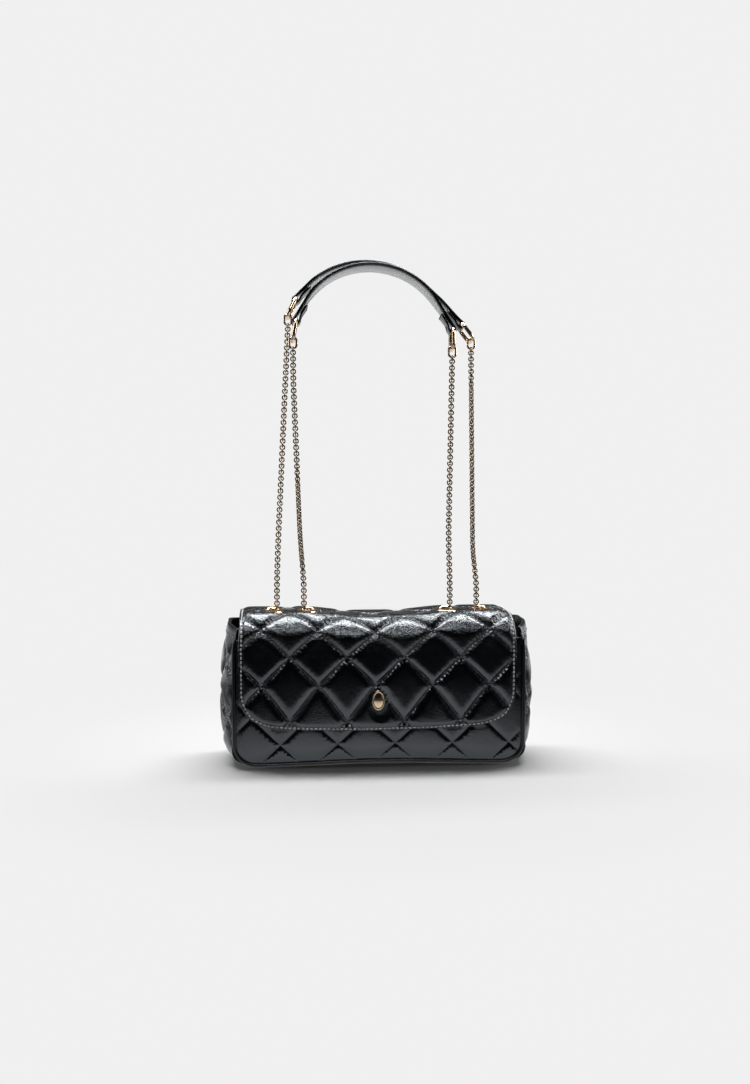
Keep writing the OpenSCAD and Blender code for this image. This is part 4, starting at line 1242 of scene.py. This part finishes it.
class PadLine:
    """The pad's arch as the solids have it: its bars, the arch's middle and its straight legs."""

    def __init__(self, pad):
        self.joints, self.arch = pad["joints"], pad["arch"]
        self.y = self.joints[0][1]
        self.bars = [
            np.array([x + BAR_GAP * math.sin(t), z - RING_SEAT + BAR_GAP * math.cos(t)])
            for (x, _, z), t in zip(self.joints, map(math.radians, pad["tilts"]))
        ]
        self.angles = a0, a1 = [math.radians(a) for a in pad["angles"]]
        span = np.array([math.sin(a1) + math.sin(a0), math.cos(a1) - math.cos(a0)])
        rest = self.bars[1] - self.bars[0] - (self.arch - LOOP_R) * span
        turn = math.sin(a0 + a1)
        self.legs = (
            (math.cos(a1) * rest[1] + math.sin(a1) * rest[0]) / turn,
            (math.sin(a0) * rest[0] - math.cos(a0) * rest[1]) / turn,
        )
        out, along = self.directions(0)
        self.middle = self.bars[0] - (self.arch - LOOP_R) * out - self.legs[0] * along

    def directions(self, side):
        """Out from the arch, and along the leg towards its bar. Side 0 is left and 1 right."""
        a, sign = self.angles[side], 1 if side else -1
        return np.array([sign * math.sin(a), math.cos(a)]), np.array([sign * math.cos(a), -math.sin(a)])

    def on_leg(self, side, radius, back):
        """A point on a leg, back being the distance from the bar towards the arch."""
        out, along = self.directions(side)
        return self.middle + out * radius + along * (self.legs[side] - back)

    def strap(self, radius, end_back):
        """Points along both legs and the arch at a radius, from left to right."""
        left, right = self.legs
        last = right - (right - end_back) % 1.5
        turns = np.linspace(-self.angles[0], self.angles[1], 70)
        points = [self.on_leg(0, radius, back) for back in np.arange(end_back, left, 1.5)]
        points += [self.middle + radius * np.array([math.sin(a), math.cos(a)]) for a in turns]
        points += [self.on_leg(1, radius, back) for back in np.arange(last, end_back - 0.01, -1.5)]
        return points

    def loop(self, side, radius):
        """Round the ring's bar, from the pad's top to the tab under it."""
        out, along = self.directions(side)
        turns = np.linspace(0.15, math.pi, 14)
        points = [self.bars[side] + radius * (out * math.cos(t) + along * math.sin(t)) for t in turns]
        for k in range(1, 9):
            back = TAB_LENGTH * k / 8
            ease = float(smooth((back - 0.5) / 6.5))
            level = (self.arch - LOOP_R - radius) * (1 - ease) + (self.arch - 4.1) * ease
            points.append(self.on_leg(side, level, back))
        return points

    def widths(self, line):
        back = np.minimum(line[:, 0] - self.bars[0][0], self.bars[1][0] - line[:, 0])
        return TAB_WIDTH + (PAD_WIDTH - TAB_WIDTH) * smooth(back / (TAB_LENGTH + 3))

    def lean(self, points):
        a, b = (Vector(joint) for joint in self.joints)
        turn = Matrix.Rotation(math.radians(-PAD_LEAN), 4, (b - a).normalized())
        return np.array([tuple(turn @ (Vector(p) - a) + a) for p in points])

    def strip(self, name, line, tangent, widths, thick, corner):
        """A leather strip along the line, with a soft edge whatever its width."""
        points = columns(line[:, 0], self.y, line[:, 1])
        normals = columns(-tangent[:, 1], 0.0, tangent[:, 0])
        verts, faces = sweep(points, normals, band_profile(1.0, thick, NARROW_CORNER), widths)
        verts = round_edges(verts, points, widths, thick, corner)
        return outward(new_object(name, self.lean(verts), faces))


def round_edges(verts, points, widths, thick, corner):
    """Puts the true round edge on a strip whose profile was stretched to its width."""
    profile = band_profile(1.0, thick, NARROW_CORNER)
    m = len(profile)
    out = verts.reshape(len(points), m, 3)
    for i, width in enumerate(widths):
        for k, (across, up) in enumerate(band_profile(width, thick, corner)):
            out[i, k, 1] += np.sign(out[i, 0, 1] - out[i, m // 2, 1]) * (across - profile[k][0] * width)
            way = out[i, 1] - points[i]
            way[1] = 0
            length = np.linalg.norm(way)
            if length > 1e-6:
                out[i, k] += way / length * (up - profile[k][1])
    return out.reshape(-1, 3)


def build_pad(name, pad):
    """A shoulder pad: the leather round both rings, the leather under it, pale partly by its own colour
    and partly by painted reflection of the floor, and its stitches.
    """
    pad = PadLine(pad)
    top = pad.strap(pad.arch - PAD_THICK / 2, 0.0)
    bend = LOOP_R - PAD_THICK / 2
    points = pad.loop(0, bend)[::-1] + top + pad.loop(1, bend)
    line = [points[0]]
    for p in points[1:]:
        if np.linalg.norm(p - line[-1]) > 0.35:
            line.append(p)
    line = np.array(line)
    tangent = unit(np.gradient(line, axis=0))
    obj = pad.strip(name + "_pad_leather", line, tangent, pad.widths(line), PAD_THICK, 0.75)
    finish_piece(obj, name + "_pad", "pad leather", name + "_pad")
    line = np.array(pad.strap(pad.arch - 2.45, TAB_LENGTH + 0.2))
    tangent = np.gradient(line, axis=0)
    obj = pad.strip(name + "_pad_under", line, tangent, pad.widths(line) - 3.4, UNDER_THICK, 0.5)
    finish_piece(obj, name + "_pad", "pad lining", name + "_pad_lining")
    line = np.array(pad.strap(pad.arch + 0.05, 3.0))
    out = unit(line - pad.middle)
    ups = columns(out[:, 0], 0.0, out[:, 1])
    runs = []
    for side in (-1, 1):
        offset = (pad.widths(line) / 2 - 2.0) * side
        points = columns(line[:, 0], pad.y + offset, line[:, 1])
        ends, points = pad.lean(points + ups), pad.lean(points)
        runs.append((points, ends - points))
    stitches(name + "_pad_stitches", runs, "thread", name + "_pad", length=2.4, thread=0.5)


# Chains and fittings


def ring_template():
    """One chain ring: a round band with soft edges, its axis along Z."""
    radius, wire = 1.925, 0.5
    select_nothing()
    bpy.ops.mesh.primitive_torus_add(
        major_segments=18, minor_segments=6, major_radius=radius, minor_radius=wire
    )
    points, faces = taken_apart(bpy.context.object)
    reach = np.hypot(points[:, 0], points[:, 1])
    across = (reach - radius) / wire
    up = points[:, 2] / wire
    swollen = radius + 0.54 * np.sign(across) * np.abs(across) ** 0.8
    points[:, :2] *= (swollen / reach)[:, None]
    points[:, 2] = 0.72 * np.sign(up) * np.abs(up) ** 0.75
    return points, faces


def islands(obj):
    """The separate solids of a node, each as an array of its points in millimetres."""
    bm = bmesh.new()
    bm.from_mesh(obj.data)
    bmesh.ops.remove_doubles(bm, verts=bm.verts, dist=1e-6)
    seen, groups = set(), []
    for start in bm.verts:
        if start in seen:
            continue
        stack, group = [start], []
        seen.add(start)
        while stack:
            v = stack.pop()
            group.append(tuple(v.co / MM))
            for edge in v.link_edges:
                other = edge.other_vert(v)
                if other not in seen:
                    seen.add(other)
                    stack.append(other)
        groups.append(np.array(group))
    bm.free()
    return groups


def build_chain(node_name, body, template):
    """A ring at each of the solid's rings, turned the same way."""
    frames = []
    for group in islands(frame["nodes"][node_name]):
        centre = group.mean(0)
        axis = np.linalg.svd(group - centre, full_matrices=False)[2][2]
        side = np.cross(axis, (0.3, 0.5, 0.81))
        side /= np.linalg.norm(side)
        frames.append((centre, side, np.cross(axis, side), axis))
    obj = outward(new_object(node_name + "_rings", *copies(template, frames)))
    finish_piece(obj, body, "chain gold", node_name)


def build_thick_rings(node_name, by):
    """The solid's rings, drawn a little thicker and rounder, as cast rings are."""
    solid = frame["nodes"][node_name]
    obj = bpy.data.objects.new(node_name + "_cast", solid.data.copy())
    bpy.context.scene.collection.objects.link(obj)
    outward(obj)
    obj.data.polygons.foreach_set("use_smooth", [True] * len(obj.data.polygons))
    apply_modifier(obj, "DISPLACE", mid_level=0.0, strength=by * MM)
    apply_modifier(obj, "SUBSURF", levels=1)
    finish_piece(obj, solid.parent.name.split(":")[1], "gold", node_name)


# Rounds of a turned fitting: radius and height of an eyelet, share of the width and rise of the stud
EYELET_PROFILE = (
    (5.75, -5.0), (5.75, 0.2), (5.95, 1.0), (6.5, 1.5), (7.2, 1.6), (8.1, 1.3),
    (8.8, 0.7), (9.0, 0.05), (8.6, -0.2), (6.3, -0.25), (6.25, -5.0),
)
STUD_LEVELS = (
    (1.0, -0.4), (1.0, 0.7), (0.97, 1.05), (0.9, 1.2), (0.84, 1.12), (0.78, 0.95),
    (0.72, 1.05), (0.6, 1.5), (0.42, 1.85), (0.2, 2.05), (0.03, 2.1),
)


def build_eyelets():
    """Rolled eyelets: a round flange over the leather and a barrel down through it."""
    steps = 40
    verts, faces = [], []
    one = [(a, d, c, b) for a, b, c, d in quads(steps + 1, len(EYELET_PROFILE))]
    whole = steps * len(EYELET_PROFILE)
    for x in EYELET_XS:
        faces += [tuple(len(verts) + k % whole for k in f) for f in one]
        for i in range(steps):
            a = 2 * math.pi * i / steps
            for r, z in EYELET_PROFILE:
                back = r * math.sin(a)
                up = TOP_Z - SETTLE + z + EYELET_TILT * back
                verts.append((x + r * math.cos(a), EYELET_Y + back, up))
    obj = outward(new_object("eyelet_flanges", verts, faces))
    finish_piece(obj, "flap_top", "gold", "eyelets")


def build_strip():
    """The stiff strip under the flap's top that the eyelets grip. It sinks with the leather."""
    us = np.linspace(STRIP_LOW[0], STRIP_HIGH[0], 90)
    vs = V_TOP + np.linspace(STRIP_LOW[1], STRIP_HIGH[1], 8) - FOLD_Y
    u, v = (g.ravel() for g in np.meshgrid((us - FLAP_SHIFT) / FLAP_SHRINK, vs))
    n, rows, count = len(us), len(vs), len(u)
    levels = (corner[2] - TOP_Z - 0.2 for corner in (STRIP_HIGH, STRIP_LOW))
    sides = [flap_place(u, v, np.full(count, level)) for level in levels]
    flat = quads(rows, n, ring=False)
    border = list(range(n)) + [j * n + n - 1 for j in range(1, rows)]
    border += list(range(count - 2, count - n - 1, -1)) + [j * n for j in range(rows - 2, 0, -1)]
    walls = [(a + count, b + count, b, a) for a, b in zip(border, border[1:] + border[:1])]
    faces = flat + [tuple(k + count for k in reversed(f)) for f in flat] + walls
    obj = outward(new_object("strip_under_top", np.concatenate(sides), faces, smooth_faces=False))
    finish_piece(obj, "flap_top", "board", "eyelet_strip")


def build_stud():
    """A plain oval stud: a low dome inside a fine raised rim."""
    half_w, half_h = (STUD_HIGH[0] - STUD_LOW[0]) / 2, (STUD_HIGH[2] - STUD_LOW[2]) / 2
    mid_z = (STUD_HIGH[2] + STUD_LOW[2]) / 2
    steps = 48
    turns = [2 * math.pi * i / steps for i in range(steps)]
    verts = [
        (FLAP_SHIFT + half_w * share * math.cos(a), FACE_Y - out, mid_z + half_h * share * math.sin(a))
        for share, out in STUD_LEVELS
        for a in turns
    ]
    obj = outward(new_object("oval_stud", verts, tube_faces(len(STUD_LEVELS), steps)))
    finish_piece(obj, "flap_front", "gold", "flap_stud")


# Stage


def build_floor(settings, pale):
    """The floor: it takes the bag's shadow nearby and melts into the backdrop further off."""
    select_nothing()
    bpy.ops.mesh.primitive_plane_add(size=12.0, location=(0, 0, 0))
    floor = bpy.context.object
    floor.name = "floor"
    bpy.ops.object.transform_apply(location=True, rotation=True, scale=True)
    material, shade, shader, where = new_material("Pale studio floor")
    white = opaque(settings.backdrop, settings.floor_white)
    shade.fill(shader, {"Base Color": white, "Roughness": 0.7, "Specular IOR Level": 0.0})
    rays = shade.add("LightPath")
    seen = shade.add("Emission", {"Color": pale, "Strength": 1.0})["Emission"]
    behind = shade.ramp(shade.axes(where)["Y"], 0.1, 0.7)
    low = shade.scaled(rays["Is Diffuse Ray"], 0.5, 0.05)
    strength = shade.scaled(behind, 0.9, low, clamp=True)
    dim = shade.add("Emission", {"Color": pale, "Strength": strength})["Emission"]
    away = shade.ramp(shade.add("VectorMath", {0: where}, operation="LENGTH")["Value"], 0.08, 0.37)
    near = shade.mix(shade.times(rays["Is Glossy Ray"], 0.7), shader.outputs["BSDF"], seen)
    far = shade.mix(rays["Is Camera Ray"], dim, seen)
    end = material.node_tree.nodes["Material Output"]
    shade.fill(end, {"Surface": shade.mix(away, near, far)})
    floor.data.materials.append(material)


def build_room(settings, pale):
    """A pale room to the camera, and soft glows overhead, behind and aside for what it lights."""
    world = bpy.data.worlds.new("Soft studio")
    bpy.context.scene.world = world
    world.use_nodes = True
    world.node_tree.nodes.clear()
    shade = Shading(world.node_tree)
    way = shade.axes(shade.add("TexCoord")["Generated"])

    def glow(source, start, stop, bright):
        return shade.times(shade.ramp(source, start, stop), bright)

    overhead = glow(way["Z"], 0.6, 0.95, 0.1)
    behind = glow(way["Y"], 0.3, 0.95, 0.12)
    aside = glow(shade.math("ABSOLUTE", way["X"]), 0.65, 0.95, 0.25)
    total = shade.plus(shade.plus(overhead, behind), shade.plus(aside, 0.01))
    room = shade.add("Background", {"Color": total, "Strength": settings.room_light})["Background"]
    seen = shade.add("Background", {"Color": pale, "Strength": 1.0})["Background"]
    rays = shade.add("LightPath")
    through = shade.math("MAXIMUM", rays["Is Camera Ray"], rays["Is Transmission Ray"])
    end = world.node_tree.nodes.new("ShaderNodeOutputWorld")
    shade.fill(end, {"Surface": shade.mix(through, room, seen)})


def look_at(obj, place, aim):
    obj.location = place
    obj.rotation_euler = (Vector(aim) - Vector(place)).to_track_quat("-Z", "Y").to_euler()
    bpy.context.scene.collection.objects.link(obj)


# Name, place, aim, width and height in metres, and share of the power. Cards only show as glints.
LIGHTS = (
    ("top_softbox", (-0.02, 0.28, 1.3), (0, 0.1, 0.1), 1.5, 0.32, 1.0),
    ("top_card", (-0.05, 0.16, 1.25), (0, 0, 0.1), 1.2, 0.16, 0.9),
    ("front_card", (-0.1, -0.8, 1.1), (0, 0, 0.1), 1.0, 0.12, 0.2),
    ("left_card", (-1.1, 0.1, 0.5), (0, 0, 0.1), 0.3, 0.8, 0.16),
    ("right_card", (1.1, 0.1, 0.5), (0, 0, 0.1), 0.3, 0.8, 0.4),
)
SENSOR_HEIGHT = 24.0
PICTURE_HEIGHT = 1084


def build_stage(settings):
    scene = bpy.context.scene
    pale = opaque(settings.backdrop)
    build_floor(settings, pale)
    build_room(settings, pale)
    for name, place, aim, width, height, share in LIGHTS:
        light = bpy.data.lights.new(name, "AREA")
        light.shape = "RECTANGLE"
        light.size, light.size_y = width, height
        light.energy = settings.key_power * share
        obj = bpy.data.objects.new(name, light)
        obj.visible_diffuse = not name.endswith("card")
        look_at(obj, place, aim)
    camera = bpy.data.cameras.new("camera")
    camera.sensor_fit = "VERTICAL"
    camera.sensor_height = SENSOR_HEIGHT
    camera.lens = settings.focal_pixels * SENSOR_HEIGHT / PICTURE_HEIGHT
    camera.dof.use_dof = False
    scene.camera = bpy.data.objects.new("camera", camera)
    look_at(scene.camera, settings.camera_place, settings.camera_aim)
    scene.view_settings.view_transform = "Standard"


# Add-on


def colour(name, description, *default):
    return bpy.props.FloatVectorProperty(
        name=name, description=description, subtype="COLOR", size=3, default=default, min=0, max=1
    )


def place(name, description, *default):
    return bpy.props.FloatVectorProperty(
        name=name, description=description, subtype="TRANSLATION", size=3, default=default
    )


def number(name, description, default, top, least=0.0, unit="NONE"):
    return bpy.props.FloatProperty(
        name=name, description=description, default=default, min=least, max=top, unit=unit
    )


class BagColours(bpy.types.PropertyGroup):
    leather: colour("Leather", "Colour of the black leather", 0.002, 0.0036, 0.0058)
    metal: colour("Metal", "Colour of the chains and fittings", 0.82, 0.63, 0.44)
    lining: colour("Lining", "Colour of the lining cloth", 0.12, 0.1, 0.085)


class BagQuilting(bpy.types.PropertyGroup):
    pillow_height: number(
        "Pillow height", "How far the quilting swells between its lines", 0.0033, 0.006, 0.001, "LENGTH"
    )


class BagStage(bpy.types.PropertyGroup):
    backdrop: colour("Backdrop", "Colour of the floor and the room behind", 0.871, 0.871, 0.871)
    room_light: number("Room light", "Strength of the light from all round", 1.0, 2)
    key_power: number("Softbox power", "Power of the large softbox above", 25.0, 100, unit="POWER")
    floor_white: number("Floor white", "How much light the floor throws back", 0.86, 1)
    camera_place: place("Camera", "Where the camera stands", -0.0912, -1.1464, 0.262)
    camera_aim: place("Aim", "The point in the middle of the picture", -0.0012, 0.0, 0.1785)
    focal_pixels: number(
        "Focal length", "Focal length in pixels of a picture 1084 high", 1411.0, 6000, least=400
    )


class BAG_OT_flap(bpy.types.Operator):
    """Quilted flap leather, its lining and its stitches"""

    bl_idname = "bag.flap"
    bl_label = "Quilted flap"

    def execute(self, context):
        build_flap(context.scene.bag_quilting)
        return {"FINISHED"}


class BAG_OT_body(bpy.types.Operator):
    """Quilted front and back panels, rolled seams, gussets and base"""

    bl_idname = "bag.body"
    bl_label = "Quilted body"

    def execute(self, context):
        sizes = context.scene.bag_quilting
        height = sizes.pillow_height / MM * 0.42
        front = Quilt(12.5, 18.0, height=height * 0.65, reach=4.2, pucker=0.1)
        back = Quilt(0.0, 24.0, height=height * 1.5, reach=9.0, pucker=0.2)
        front_top, back_top = PANEL_HIGH[2], BACK_HIGH[2] - 1.0
        snap = [(0.0, (SOCKET_LOW[2] + SOCKET_HIGH[2]) / 2, 9.5, 14.0)]
        build_panel("front_quilt", FRONT_FACE, -1, front, front_top, snap, "front_panel", "front_wadding")
        build_panel("back_quilt", BACK_FACE, 1, back, back_top, [], "back_panel", "back_wadding")
        build_piping("front_piping", SEAM_LOW[1] + 0.9, front_top - 1.0, "front_seam")
        build_piping("back_piping", BACK_FACE - 0.4, back_top - 1.0, "back_seam")
        build_gussets(sizes)
        return {"FINISHED"}


class BAG_OT_inside(bpy.types.Operator):
    """Lining, slip pocket and bound edges"""

    bl_idname = "bag.inside"
    bl_label = "Inside"

    def execute(self, context):
        build_lining()
        build_pocket()
        build_mouth_edge()
        repaint("base_board", "board")
        repaint("front_wadding", "wadding")
        repaint("back_wadding", "wadding")
        return {"FINISHED"}


class BAG_OT_pads(bpy.types.Operator):
    """Shoulder pads folded round their rings"""

    bl_idname = "bag.pads"
    bl_label = "Shoulder pads"

    def execute(self, context):
        for name, pad in PADS.items():
            build_pad(name, pad)
        return {"FINISHED"}


class BAG_OT_chains(bpy.types.Operator):
    """Chain rings, connecting links and pad rings"""

    bl_idname = "bag.chains"
    bl_label = "Chains"

    def execute(self, context):
        template = ring_template()
        for name in ("left_chain_run", "right_chain_run"):
            build_chain(name, "flap_top", template)
        for name in PADS:
            for links in ("_bend_links_low", "_bend_links_high"):
                build_chain(name + links, name + "_bend", template)
            for strand in ("_left_chain", "_right_chain"):
                build_chain(name + strand, name + "_strap", template)
            build_thick_rings(name + "_oval_links", 0.3)
            build_thick_rings(name + "_pad_rings", 0.5)
        return {"FINISHED"}


class BAG_OT_fittings(bpy.types.Operator):
    """Eyelets, the oval stud and the magnetic snap"""

    bl_idname = "bag.fittings"
    bl_label = "Fittings"

    def execute(self, context):
        build_eyelets()
        build_strip()
        build_stud()
        repaint("eyelet_washers", "snap")
        for name in ("snap_socket", "snap_socket_plate", "snap_stud", "snap_stud_plate"):
            repaint(name, "snap")
        return {"FINISHED"}


class BAG_OT_stage(bpy.types.Operator):
    """Floor, room, softboxes and camera"""

    bl_idname = "bag.stage"
    bl_label = "Stage"

    def execute(self, context):
        build_stage(context.scene.bag_stage)
        return {"FINISHED"}


OPERATORS = (
    BAG_OT_flap,
    BAG_OT_body,
    BAG_OT_inside,
    BAG_OT_pads,
    BAG_OT_chains,
    BAG_OT_fittings,
    BAG_OT_stage,
)


class BAG_PT_panel(bpy.types.Panel):
    """Sizes, colours and the pieces in the order they are made"""

    bl_idname = "BAG_PT_panel"
    bl_label = "Chain Bag"
    bl_space_type = "VIEW_3D"
    bl_region_type = "UI"
    bl_category = "Chain Bag"

    def draw(self, context):
        for group in SETTINGS:
            settings = getattr(context.scene, group)
            column = self.layout.column(align=True)
            for key in settings.bl_rna.properties.keys():
                if key not in ("rna_type", "name"):
                    column.prop(settings, key)
        column = self.layout.column(align=True)
        for operator in OPERATORS:
            column.operator(operator.bl_idname)


SETTINGS = {"bag_colours": BagColours, "bag_quilting": BagQuilting, "bag_stage": BagStage}
CLASSES = (*SETTINGS.values(), *OPERATORS, BAG_PT_panel)


def register():
    for cls in CLASSES:
        bpy.utils.register_class(cls)
    for name, group in SETTINGS.items():
        setattr(bpy.types.Scene, name, bpy.props.PointerProperty(type=group))


def unregister():
    for name in SETTINGS:
        delattr(bpy.types.Scene, name)
    for cls in reversed(CLASSES):
        bpy.utils.unregister_class(cls)


def main():
    register()
    select_nothing()
    bpy.ops.bag.flap()
    bpy.ops.bag.body()
    bpy.ops.bag.inside()
    bpy.ops.bag.pads()
    bpy.ops.bag.chains()
    bpy.ops.bag.fittings()
    bpy.ops.bag.stage()
    select_nothing()


if __name__ == "__main__":
    main()
